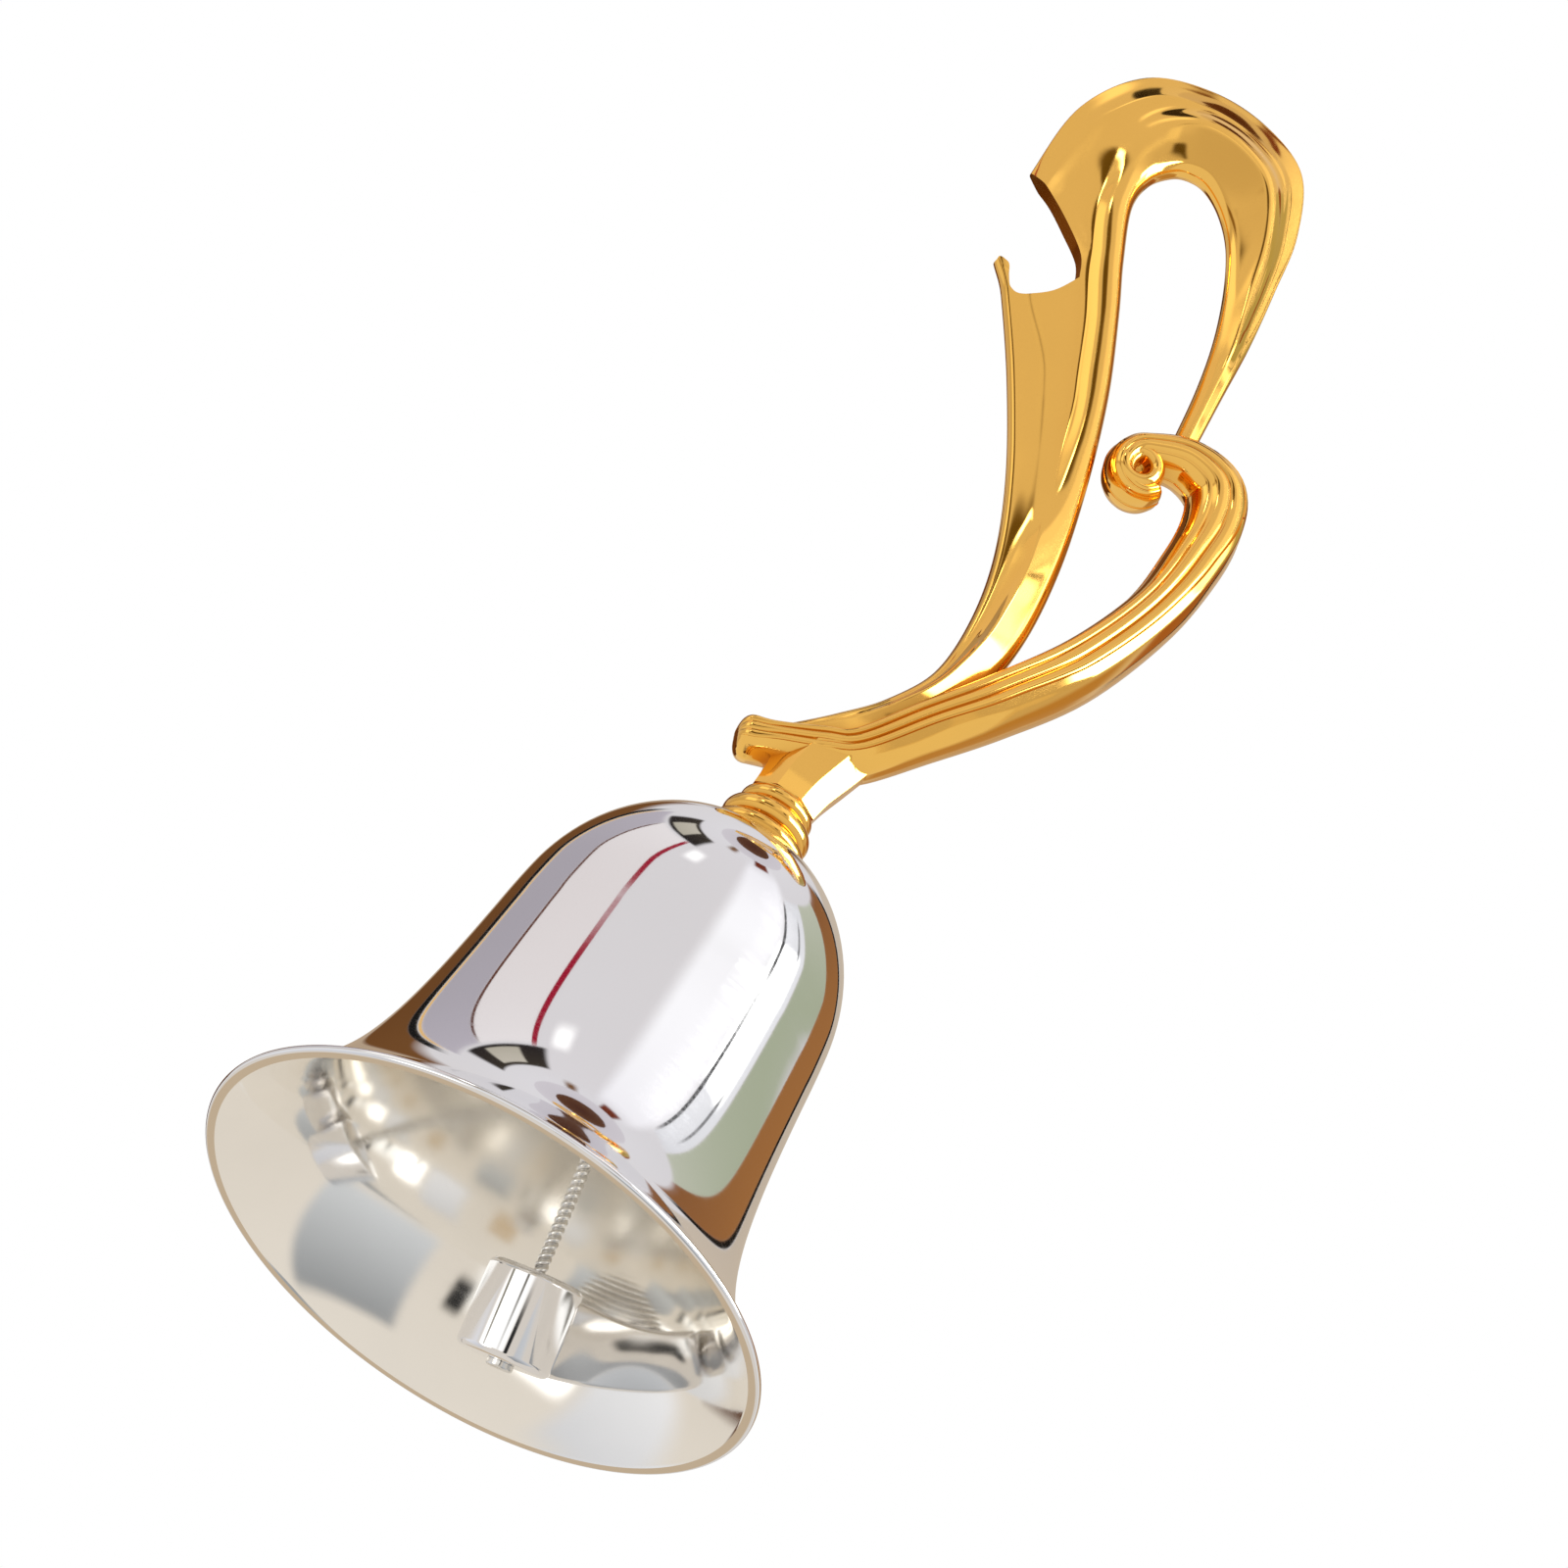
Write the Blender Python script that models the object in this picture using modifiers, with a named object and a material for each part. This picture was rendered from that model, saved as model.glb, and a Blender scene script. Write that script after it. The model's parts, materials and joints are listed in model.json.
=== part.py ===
"""Hand bell with a cast scroll handle and a swinging clapper.

The bell stands on its mouth: +Z is the axis of the bell, z = 0 is the plane of the mouth and the origin is
the centre of the mouth.  The scroll of the handle lies in the XZ plane.  The clapper rests against the wall.
Lengths are in metres.
"""

import math

import bmesh
import bpy
from mathutils import Euler, Matrix, Vector

MM = 0.001

# Bell shell
MOUTH_RADIUS = 32.5 * MM
FLARE_LENGTH = 8.0 * MM
BODY_FOOT_RADIUS = 22.2 * MM
SHOULDER_RADIUS = 18.85 * MM
SHOULDER_HEIGHT = 38.0 * MM
DOME_HEIGHT = 20.8 * MM
DOME_CENTRE_RADIUS = 2.0 * MM
CROWN_LAND_RADIUS = 5.0 * MM
WALL = 1.0 * MM
LIP_ROUND = 0.4 * MM

# Gaps between pieces that touch, and round the stud
SEAT_GAP = 0.3 * MM
BORE_GAP = 0.3 * MM

# Collar stack on the crown
SEAT_RING_RADIUS = 5.7 * MM
SEAT_RING_HEIGHT = 1.6 * MM
LOWER_BEAD_RADIUS = 5.1 * MM
LOWER_BEAD_HEIGHT = 2.5 * MM
UPPER_BEAD_RADIUS = 4.2 * MM
UPPER_BEAD_HEIGHT = 1.9 * MM

# Stud, eye, washer and nut
STUD_RADIUS = 1.5 * MM
STUD_GRIP = 6.0 * MM
WASHER_RADIUS = 3.6 * MM
WASHER_HEIGHT = 0.6 * MM
NUT_ACROSS_FLATS = 5.5 * MM
NUT_HEIGHT = 2.4 * MM
EYE_DROP = 2.4 * MM
EYE_RADIUS = 2.3 * MM
EYE_WIRE = 0.75 * MM

# Link ring, stem and weight of the clapper
LINK_RADIUS = 2.5 * MM
LINK_WIRE = 0.55 * MM
LOOP_RADIUS = 2.0 * MM
LOOP_WIRE = 0.6 * MM
STEM_RADIUS = 0.8 * MM
WEIGHT_RADIUS = 5.4 * MM
WEIGHT_LENGTH = 10.0 * MM
WEIGHT_ROUND = 0.8 * MM
PEEN_RADIUS = 1.5 * MM
PEEN_HEIGHT = 0.5 * MM
RUNNING_GAP = 0.3 * MM
WALL_REST_GAP = 0.35 * MM
MOUTH_CLEARANCE = 0.3 * MM
FIRST_SWING_AZIMUTH = math.radians(24.0)

# Handle casting: eight-sided neck
NECK_RADIUS = 4.2 * MM
NECK_SIDES = 8
NECK_SHARE_RINGS = ((0.0, 1.0), (0.35, 0.93))
NECK_FLARE = 2.6 * MM
NECK_INSET = 0.3 * MM

# Handle casting: arm from the stub to the scroll, as (x, height above the neck's foot, width, depth) in mm
ARM_PATH = (
    (-7.2, 4.7, 3.6, 5.2),
    (-4.2, 5.7, 4.2, 5.8),
    (0.4, 7.7, 5.3, 6.4),
    (3.9, 10.1, 5.0, 7.0),
    (8.5, 17.0, 5.3, 8.0),
    (13.5, 24.9, 5.2, 9.0),
    (18.4, 34.1, 5.4, 9.4),
    (22.0, 44.4, 5.8, 9.2),
    (23.4, 52.3, 6.5, 8.6),
    (22.9, 58.0, 6.5, 8.1),
    (20.5, 62.1, 6.0, 7.6),
    (16.4, 63.2, 4.8, 7.2),
)
ARM_FLUTES = 3
FLUTE_SHARE = 0.08
ARM_CROWN_SHARE = 0.14
STUB_ROUND = 1.0 * MM
SCROLL_ROUND = 0.6 * MM

# Handle casting: scroll that the arm ends in, about a centre given like the arm's points
SCROLL_CENTRE = (13.2, 59.2)
SCROLL_START_ANGLE = math.radians(112.0)
SCROLL_TURN = math.radians(215.0)
SCROLL_START = (2.8, 3.7, 7.0)
SCROLL_END = (2.4, 1.6, 5.0)
SCROLL_POINTS = 7
SCROLL_FLOOR_DEPTH = 3.6 * MM
SCROLL_FLOOR_RADIUS = 3.1 * MM

# Handle casting: band of leaf, hood and loop, as (outer x, outer height, inner x, inner height) in mm
BAND_EDGES = (
    (-4.6, 7.5, -2.8, 5.6),
    (-0.4, 11.9, 3.2, 9.5),
    (3.5, 17.4, 8.3, 16.5),
    (6.0, 24.2, 11.3, 24.5),
    (6.0, 32.2, 12.3, 33.0),
    (4.3, 40.9, 11.4, 43.0),
    (0.8, 50.3, 9.1, 53.5),
    (-4.5, 60.4, 5.9, 64.8),
    (-10.0, 69.2, 2.0, 74.5),
    (-13.8, 74.6, -0.8, 80.8),
    (-15.0, 85.0, -3.5, 87.9),
    (-14.2, 95.2, -3.6, 92.4),
    (-9.9, 102.9, -2.0, 95.2),
    (-3.2, 106.3, -0.1, 96.0),
    (3.5, 106.0, 1.9, 95.7),
    (9.4, 103.0, 4.5, 93.7),
    (13.2, 96.4, 7.2, 90.2),
    (15.1, 88.9, 9.8, 85.0),
    (16.0, 80.6, 12.0, 78.8),
    (16.2, 72.6, 13.2, 72.0),
    (16.6, 64.0, 14.1, 64.0),
)
EDGE_HALF = 0.45 * MM
EDGE_ROUND_SHARE = 0.10
RIM_PLACE = 0.22
RIM_SPREAD = 0.13
RIDGE_PLACE = 0.79
RIDGE_SPREAD = 0.20
# Half thickness in mm of the web, of the rim on it and of the ridge on it, keyed along the band
BAND_DEPTHS = (
    (0.00, 2.2, 0.0, 0.0),
    (0.18, 1.9, 0.0, 1.6),
    (0.30, 1.0, 0.3, 2.6),
    (0.52, 0.9, 0.4, 2.4),
    (0.61, 1.3, 1.7, 1.4),
    (0.71, 1.7, 2.0, 0.5),
    (0.85, 1.5, 1.3, 0.4),
    (1.00, 1.5, 0.6, 0.3),
)

# Handle casting: edge of the notch between the hood and the leaf's tip, as (x, height) in mm
NOTCH_EDGE = (
    (-19.0, 85.6),
    (-14.2, 84.0),
    (-11.3, 82.7),
    (-8.4, 80.8),
    (-5.5, 78.4),
    (-4.5, 75.9),
    (-5.8, 72.6),
    (-8.4, 70.1),
    (-10.6, 70.6),
    (-11.7, 72.1),
    (-12.6, 72.7),
    (-19.0, 73.5),
)

# Facets
TURN_STEPS = 48
RING_STEPS = 24
WIRE_SIDES = 10
ROUND_STEPS = 2
BEAD_STEPS = 6
ARM_STEPS_EACH = 3
ARM_SECTION_STEPS = 12
BAND_STEPS_EACH = 3
BAND_SECTION = (0.0, 0.03, 0.08, 0.14, 0.22, 0.30, 0.42, 0.59, 0.62, 0.69, 0.79, 0.89, 0.95, 0.98, 1.0)
NOTCH_STEPS_EACH = 2
END_ROUND = ((0.86, 0.65), (0.5, 1.0))
CUTTER_REACH = 20.0 * MM

# Heights that follow from the sizes above
CROWN_TOP = SHOULDER_HEIGHT + DOME_HEIGHT * math.sqrt(
    1.0 - ((CROWN_LAND_RADIUS - DOME_CENTRE_RADIUS) / (SHOULDER_RADIUS - DOME_CENTRE_RADIUS)) ** 2)
BORE_RADIUS = STUD_RADIUS + BORE_GAP
SEAT_RING_FOOT = CROWN_TOP + SEAT_GAP
COLLAR_FOOT = SEAT_RING_FOOT + SEAT_RING_HEIGHT + SEAT_GAP
COLLAR_HEIGHT = LOWER_BEAD_HEIGHT + UPPER_BEAD_HEIGHT
NECK_FOOT = COLLAR_FOOT + COLLAR_HEIGHT + SEAT_GAP
STUD_TOP = NECK_FOOT + STUD_GRIP
WASHER_TOP = CROWN_TOP - WALL - SEAT_GAP
NUT_TOP = WASHER_TOP - WASHER_HEIGHT - SEAT_GAP
EYE_CENTRE = NUT_TOP - NUT_HEIGHT - EYE_DROP - EYE_RADIUS - EYE_WIRE
LINK_PIVOT = EYE_CENTRE - EYE_RADIUS
LINK_TOP = EYE_WIRE + LINK_WIRE + RUNNING_GAP
LINK_REACH = 2.0 * LINK_RADIUS - LINK_TOP
LOOP_TOP = LINK_WIRE + LOOP_WIRE + RUNNING_GAP


def clear_scene():
    """Remove every object of the scene."""
    for item in list(bpy.data.objects):
        bpy.data.objects.remove(item, do_unlink=True)


def make_collection(name):
    """Add a collection to the scene."""
    collection = bpy.data.collections.new(name)
    bpy.context.scene.collection.children.link(collection)
    return collection


def make_material(name, colour, roughness):
    """Plated metal with one colour."""
    material = bpy.data.materials.new(name)
    material.use_nodes = True
    shader = material.node_tree.nodes["Principled BSDF"]
    shader.inputs["Base Color"].default_value = (*colour, 1.0)
    shader.inputs["Metallic"].default_value = 1.0
    shader.inputs["Roughness"].default_value = roughness
    return material


def add_part(name, mesh, material, parent=None):
    """Put a mesh in the part's collection as a named piece."""
    piece = bpy.data.objects.new(name, mesh)
    PARTS.objects.link(piece)
    piece.parent = parent
    mesh.materials.append(material)
    mesh.shade_smooth()
    mesh.set_sharp_from_angle(angle=math.radians(35.0))
    return piece


def add_helper(name, mesh):
    """Put a mesh in the cutters' collection: it is only an operand."""
    helper = bpy.data.objects.new(name, mesh)
    CUTTERS.objects.link(helper)
    helper.hide_render = True
    helper.display_type = "WIRE"
    return helper


def add_boolean(piece, operand, operation):
    """Join or cut a piece with an operand."""
    modifier = piece.modifiers.new(operand.name, "BOOLEAN")
    modifier.object = operand
    modifier.operation = operation
    modifier.solver = "EXACT"


def add_empty(name, location, rotation, parent=None):
    """Empty that carries a moving piece, on its hinge."""
    empty = bpy.data.objects.new(name, None)
    PARTS.objects.link(empty)
    empty.parent = parent
    empty.location = location
    empty.rotation_euler = rotation
    return empty


def mesh_from_bmesh(name, form):
    """Turn a bmesh into a mesh with its faces pointing out."""
    bmesh.ops.recalc_face_normals(form, faces=form.faces)
    mesh = bpy.data.meshes.new(name)
    form.to_mesh(mesh)
    form.free()
    return mesh


def turned_part(name, profile, material, parent=None, steps=TURN_STEPS):
    """Closed (radius, height) profile, turned about Z with a Screw modifier."""
    mesh = bpy.data.meshes.new(name)
    count = len(profile)
    mesh.from_pydata([(radius, 0.0, height) for radius, height in profile],
                     [(index, (index + 1) % count) for index in range(count)], [])
    piece = add_part(name, mesh, material, parent)
    screw = piece.modifiers.new("Turn", "SCREW")
    screw.axis = "Z"
    screw.steps = steps
    screw.render_steps = steps
    screw.use_merge_vertices = True
    screw.merge_threshold = 0.00001
    return piece


def arc(centre, radius, start, end, steps):
    """Points of an arc in a profile, with both of its ends."""
    return [(centre[0] + radius * math.cos(start + (end - start) * step / steps),
             centre[1] + radius * math.sin(start + (end - start) * step / steps))
            for step in range(steps + 1)]


def cylinder_mesh(name, radius, bottom, top, segments):
    """Cylinder on the Z axis between two heights."""
    form = bmesh.new()
    middle = Matrix.Translation((0.0, 0.0, (bottom + top) / 2.0))
    bmesh.ops.create_cone(form, cap_ends=True, segments=segments, radius1=radius, radius2=radius,
                          depth=top - bottom, matrix=middle)
    return mesh_from_bmesh(name, form)


def wire_ring_mesh(name, radius, wire, centre, rotation):
    """Ring of round wire."""
    bpy.ops.mesh.primitive_torus_add(major_radius=radius, minor_radius=wire,
                                     major_segments=RING_STEPS, minor_segments=WIRE_SIDES)
    ring = bpy.context.object
    mesh = ring.data.copy()
    mesh.name = name
    bpy.data.objects.remove(ring, do_unlink=True)
    mesh.transform(Matrix.Translation(centre) @ Euler(rotation).to_matrix().to_4x4())
    return mesh


def loft_mesh(name, rings):
    """Skin over rings of equal count, with both ends closed."""
    form = bmesh.new()
    loops = [[form.verts.new(point) for point in ring] for ring in rings]
    count = len(rings[0])
    for lower, upper in zip(loops, loops[1:]):
        for index in range(count):
            following = (index + 1) % count
            form.faces.new((lower[index], lower[following], upper[following], upper[index]))
    form.faces.new(loops[0])
    form.faces.new(loops[-1])
    return mesh_from_bmesh(name, form)


def smooth_rows(rows, steps_each):
    """Catmull-Rom curve through rows of numbers, with even steps from row to row."""
    result = [list(rows[0])]
    last = len(rows) - 1
    for index in range(last):
        quad = list(zip(rows[max(index - 1, 0)], rows[index], rows[index + 1], rows[min(index + 2, last)]))
        for step in range(1, steps_each + 1):
            share = step / steps_each
            result.append([
                0.5 * (2.0 * b + (c - a) * share + (2.0 * a - 5.0 * b + 4.0 * c - d) * share ** 2
                       + (3.0 * b - a - 3.0 * c + d) * share ** 3)
                for a, b, c, d in quad])
    return result


def outer_radius(height):
    """Outside radius of the bell at a height."""
    if height > SHOULDER_HEIGHT:
        rise = min((height - SHOULDER_HEIGHT) / DOME_HEIGHT, 1.0)
        return DOME_CENTRE_RADIUS + (SHOULDER_RADIUS - DOME_CENTRE_RADIUS) * math.sqrt(1.0 - rise ** 2)
    body = BODY_FOOT_RADIUS + (SHOULDER_RADIUS - BODY_FOOT_RADIUS) * height / SHOULDER_HEIGHT
    return body + (MOUTH_RADIUS - BODY_FOOT_RADIUS) * math.exp((LIP_ROUND - height) / FLARE_LENGTH)


def inner_radius(height):
    """Inside radius of the bell at a height, one wall within the outside."""
    if height > SHOULDER_HEIGHT:
        rise = min((height - SHOULDER_HEIGHT) / (DOME_HEIGHT - WALL), 1.0)
        dome = SHOULDER_RADIUS - DOME_CENTRE_RADIUS - WALL
        return DOME_CENTRE_RADIUS + dome * math.sqrt(1.0 - rise ** 2)
    taper = (BODY_FOOT_RADIUS - SHOULDER_RADIUS) / SHOULDER_HEIGHT
    flare = (MOUTH_RADIUS - BODY_FOOT_RADIUS) * math.exp((LIP_ROUND - height) / FLARE_LENGTH)
    return outer_radius(height) - WALL * math.hypot(1.0, taper + flare / FLARE_LENGTH)


def wall_heights(lowest, dome_top):
    """Heights down the wall: close together on the dome and in the flare."""
    dome = [SHOULDER_HEIGHT + (dome_top - SHOULDER_HEIGHT) * math.cos(step * math.pi / 16.0)
            for step in range(8)]
    body = [lowest + (SHOULDER_HEIGHT - lowest) * (1.0 - step / 10.0) ** 1.6 for step in range(11)]
    return dome + body


def make_bell_shell():
    """Spun cup with a flat ground lip and a hole in its crown."""
    crown_inside = CROWN_TOP - WALL
    outside = [(BORE_RADIUS, CROWN_TOP)]
    outside += [(outer_radius(height), height) for height in wall_heights(LIP_ROUND, CROWN_TOP)]
    lip = arc((outside[-1][0] - LIP_ROUND, LIP_ROUND), LIP_ROUND, 0.0, -math.pi / 2.0, ROUND_STEPS)[1:]
    inside = [(inner_radius(height), height) for height in reversed(wall_heights(0.0, crown_inside))]
    inside += [(BORE_RADIUS, crown_inside)]
    turned_part("bell_shell", outside + lip + inside, SILVER)


def bead(radius, height, foot):
    """Half-round bead of a turned profile, from its top to its foot."""
    return arc((radius - height / 2.0, foot + height / 2.0), height / 2.0,
               math.pi / 2.0, -math.pi / 2.0, BEAD_STEPS)


def make_collar():
    """Seat ring on the crown and the collar with two beads on it."""
    seat = bead(SEAT_RING_RADIUS, SEAT_RING_HEIGHT, SEAT_RING_FOOT)
    top = SEAT_RING_FOOT + SEAT_RING_HEIGHT
    profile = [(BORE_RADIUS, top)] + seat + [(BORE_RADIUS, SEAT_RING_FOOT)]
    turned_part("seat_ring", profile, GOLD, steps=RING_STEPS)
    beads = bead(UPPER_BEAD_RADIUS, UPPER_BEAD_HEIGHT, COLLAR_FOOT + LOWER_BEAD_HEIGHT)
    beads += bead(LOWER_BEAD_RADIUS, LOWER_BEAD_HEIGHT, COLLAR_FOOT)
    top = COLLAR_FOOT + COLLAR_HEIGHT
    profile = [(BORE_RADIUS, top)] + beads + [(BORE_RADIUS, COLLAR_FOOT)]
    turned_part("collar", profile, GOLD, steps=RING_STEPS)


def make_fastening():
    """Eye bolt through the crown, with its washer and nut inside the bell."""
    stud = cylinder_mesh("stud", STUD_RADIUS, EYE_CENTRE + EYE_RADIUS, STUD_TOP, RING_STEPS)
    bolt = add_part("eye_bolt", stud, STEEL)
    eye = wire_ring_mesh("eye", EYE_RADIUS, EYE_WIRE, (0.0, 0.0, EYE_CENTRE),
                         (math.pi / 2.0, 0.0, FIRST_SWING_AZIMUTH))
    add_boolean(bolt, add_helper("eye", eye), "UNION")
    washer = [(BORE_RADIUS, WASHER_TOP), (WASHER_RADIUS, WASHER_TOP),
              (WASHER_RADIUS, WASHER_TOP - WASHER_HEIGHT), (BORE_RADIUS, WASHER_TOP - WASHER_HEIGHT)]
    turned_part("crown_washer", washer, STEEL, steps=RING_STEPS)
    hexagon = cylinder_mesh("crown_nut", NUT_ACROSS_FLATS / 2.0 / math.cos(math.pi / 6.0),
                            NUT_TOP - NUT_HEIGHT, NUT_TOP, 6)
    nut = add_part("crown_nut", hexagon, STEEL)
    bore = cylinder_mesh("nut_bore", BORE_RADIUS, NUT_TOP - NUT_HEIGHT - CUTTER_REACH,
                         NUT_TOP + CUTTER_REACH, RING_STEPS)
    add_boolean(nut, add_helper("nut_bore", bore), "DIFFERENCE")


def clapper_place(lean):
    """Place of the clapper's own frame when both hinges lean by the same angle."""
    return (Matrix.Translation((0.0, 0.0, LINK_PIVOT))
            @ Euler((lean, 0.0, FIRST_SWING_AZIMUTH)).to_matrix().to_4x4()
            @ Matrix.Translation((0.0, 0.0, -LINK_REACH))
            @ Euler((0.0, -lean, 0.0)).to_matrix().to_4x4())


def weight_edge(reach):
    """Outside of the weight's profile, from its top to its foot, under the clapper's hinge."""
    edge = WEIGHT_RADIUS - WEIGHT_ROUND
    top = WEIGHT_LENGTH - reach - WEIGHT_ROUND
    foot = WEIGHT_ROUND - reach
    return (arc((edge, top), WEIGHT_ROUND, math.pi / 2.0, 0.0, ROUND_STEPS)
            + arc((edge, foot), WEIGHT_ROUND, 0.0, -math.pi / 2.0, ROUND_STEPS))


def weight_points(lean, reach):
    """Points round the outside of the clapper's weight."""
    place = clapper_place(lean)
    turns = [step * math.tau / TURN_STEPS for step in range(TURN_STEPS)]
    return [place @ Vector((radius * math.cos(turn), radius * math.sin(turn), height))
            for radius, height in weight_edge(reach) for turn in turns]


def bisect(low, high, test):
    """Value between low, where the test holds, and high, where it doesn't."""
    for _ in range(30):
        middle = (low + high) / 2.0
        if test(middle):
            low = middle
        else:
            high = middle
    return low


def rest_lean(reach):
    """Angle of both hinges at which the weight lies against the wall."""
    def clear(lean):
        return all(inner_radius(max(point.z, 0.0)) - math.hypot(point.x, point.y) > WALL_REST_GAP
                   for point in weight_points(lean, reach))
    return bisect(0.0, math.radians(60.0), clear)


def clapper_reach():
    """Longest clapper whose weight, at rest on the wall, stays inside the mouth."""
    def inside(reach):
        return min(point.z for point in weight_points(rest_lean(reach), reach)) > MOUTH_CLEARANCE
    return bisect(WEIGHT_LENGTH, LINK_PIVOT * 2.0, inside)


def make_clapper():
    """Link ring, stem and weight, each parented to an empty on its hinge."""
    reach = clapper_reach()
    lean = rest_lean(reach)
    link_hinge = add_empty("link_hinge", (0.0, 0.0, LINK_PIVOT), (lean, 0.0, FIRST_SWING_AZIMUTH))
    link = wire_ring_mesh("link_ring", LINK_RADIUS, LINK_WIRE, (0.0, 0.0, LINK_TOP - LINK_RADIUS),
                          (0.0, math.pi / 2.0, 0.0))
    add_part("link_ring", link, STEEL, link_hinge)
    clapper_hinge = add_empty("clapper_hinge", (0.0, 0.0, -LINK_REACH), (0.0, -lean, 0.0), link_hinge)
    head_top = -reach - SEAT_GAP
    wire = cylinder_mesh("stem", STEM_RADIUS, head_top - PEEN_HEIGHT / 2.0, LOOP_TOP - 2.0 * LOOP_RADIUS,
                         RING_STEPS // 2)
    stem = add_part("clapper_stem", wire, STEEL, clapper_hinge)
    loop = wire_ring_mesh("stem_loop", LOOP_RADIUS, LOOP_WIRE, (0.0, 0.0, LOOP_TOP - LOOP_RADIUS),
                          (math.pi / 2.0, 0.0, 0.0))
    head = cylinder_mesh("stem_head", PEEN_RADIUS, head_top - PEEN_HEIGHT, head_top, RING_STEPS)
    for form in (loop, head):
        operand = add_helper(form.name, form)
        operand.parent = clapper_hinge
        add_boolean(stem, operand, "UNION")
    bore = STEM_RADIUS + BORE_GAP
    profile = [(bore, WEIGHT_LENGTH - reach)] + weight_edge(reach) + [(bore, -reach)]
    turned_part("clapper_weight", profile, SILVER, clapper_hinge, RING_STEPS)


def arm_rows():
    """Middle line, width and depth of the arm and its scroll, in mm above the neck's foot."""
    rows = [list(row) for row in ARM_PATH]
    for point in range(SCROLL_POINTS + 1):
        share = point / SCROLL_POINTS
        angle = SCROLL_START_ANGLE + SCROLL_TURN * share
        radius, width, depth = (a + (b - a) * share for a, b in zip(SCROLL_START, SCROLL_END))
        rows.append([SCROLL_CENTRE[0] + radius * math.cos(angle),
                     SCROLL_CENTRE[1] + radius * math.sin(angle), width, depth])
    return smooth_rows(rows, ARM_STEPS_EACH)


def arm_depth_share(share):
    """Share of the arm's half depth across its face: a crown with flutes, rounded at the inner edge."""
    crown = 1.0 - ARM_CROWN_SHARE * (2.0 * share - 1.0) ** 2
    flute = FLUTE_SHARE * (0.5 - 0.5 * math.cos(2.0 * math.pi * ARM_FLUTES * share))
    return crown - flute


def ring_points(outer, inner, halves):
    """Ring of a section across Y, from the outer edge to the inner one and back."""
    front = []
    back = []
    for share, half in halves:
        place = outer.lerp(inner, share)
        front.append(Vector((place.x, -half, place.y)))
        back.append(Vector((place.x, half, place.y)))
    return front + back[::-1]


def handle_place(x, height):
    """Place in the plane of the handle, from mm above the neck's foot."""
    return Vector((x * MM, NECK_FOOT + height * MM))


def round_end(rings, length):
    """Rings of a rounded end, beyond the first of some rings and outwards."""
    centre = sum(rings[0], Vector()) / len(rings[0])
    following = sum(rings[1], Vector()) / len(rings[1])
    outwards = (centre - following).normalized() * length
    return [[centre + (point - centre) * size + outwards * reach for point in rings[0]]
            for size, reach in END_ROUND]


def arm_mesh():
    """Fluted arm, swept from its rounded stub into the scroll."""
    rows = arm_rows()
    shares = [step / ARM_SECTION_STEPS for step in range(ARM_SECTION_STEPS + 1)]
    rings = []
    for index, (x, height, width, depth) in enumerate(rows):
        before = rows[max(index - 1, 0)]
        after = rows[min(index + 1, len(rows) - 1)]
        along = Vector((after[0] - before[0], after[1] - before[1])).normalized()
        side = Vector((along.y, -along.x)) * width * MM / 2.0
        middle = handle_place(x, height)
        halves = [(share, depth * MM / 2.0 * arm_depth_share(share)) for share in shares]
        rings.append(ring_points(middle + side, middle - side, halves))
    stub = round_end(rings, STUB_ROUND)
    scroll = round_end(rings[::-1], SCROLL_ROUND)
    return loft_mesh("arm", stub[::-1] + rings + scroll)


def band_depths(share):
    """Half thicknesses of web, rim and ridge at a share of the band's length."""
    for start, end in zip(BAND_DEPTHS, BAND_DEPTHS[1:]):
        if share <= end[0]:
            blend = (share - start[0]) / (end[0] - start[0])
            blend = blend * blend * (3.0 - 2.0 * blend)
            return [(a + (b - a) * blend) * MM for a, b in zip(start[1:], end[1:])]
    return [depth * MM for depth in BAND_DEPTHS[-1][1:]]


def band_half(share, web, rim, ridge):
    """Half thickness across the band: a web with a rim, a ridge and rounded edges."""
    swell = web + rim * math.exp(-((share - RIM_PLACE) / RIM_SPREAD) ** 2)
    swell += ridge * math.sqrt(max(0.0, 1.0 - ((share - RIDGE_PLACE) / RIDGE_SPREAD) ** 2))
    edge = min(share, 1.0 - share) / EDGE_ROUND_SHARE
    rounding = math.sqrt(1.0 - (1.0 - min(edge, 1.0)) ** 2)
    return EDGE_HALF + (swell - EDGE_HALF) * rounding


def band_mesh():
    """Leaf, hood and loop as one band between its two edges."""
    rows = smooth_rows(BAND_EDGES, BAND_STEPS_EACH)
    rings = []
    for index, (outer_x, outer_height, inner_x, inner_height) in enumerate(rows):
        depths = band_depths(index / (len(rows) - 1))
        halves = [(share, band_half(share, *depths)) for share in BAND_SECTION]
        rings.append(ring_points(handle_place(outer_x, outer_height),
                                 handle_place(inner_x, inner_height), halves))
    return loft_mesh("handle", rings)


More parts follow.
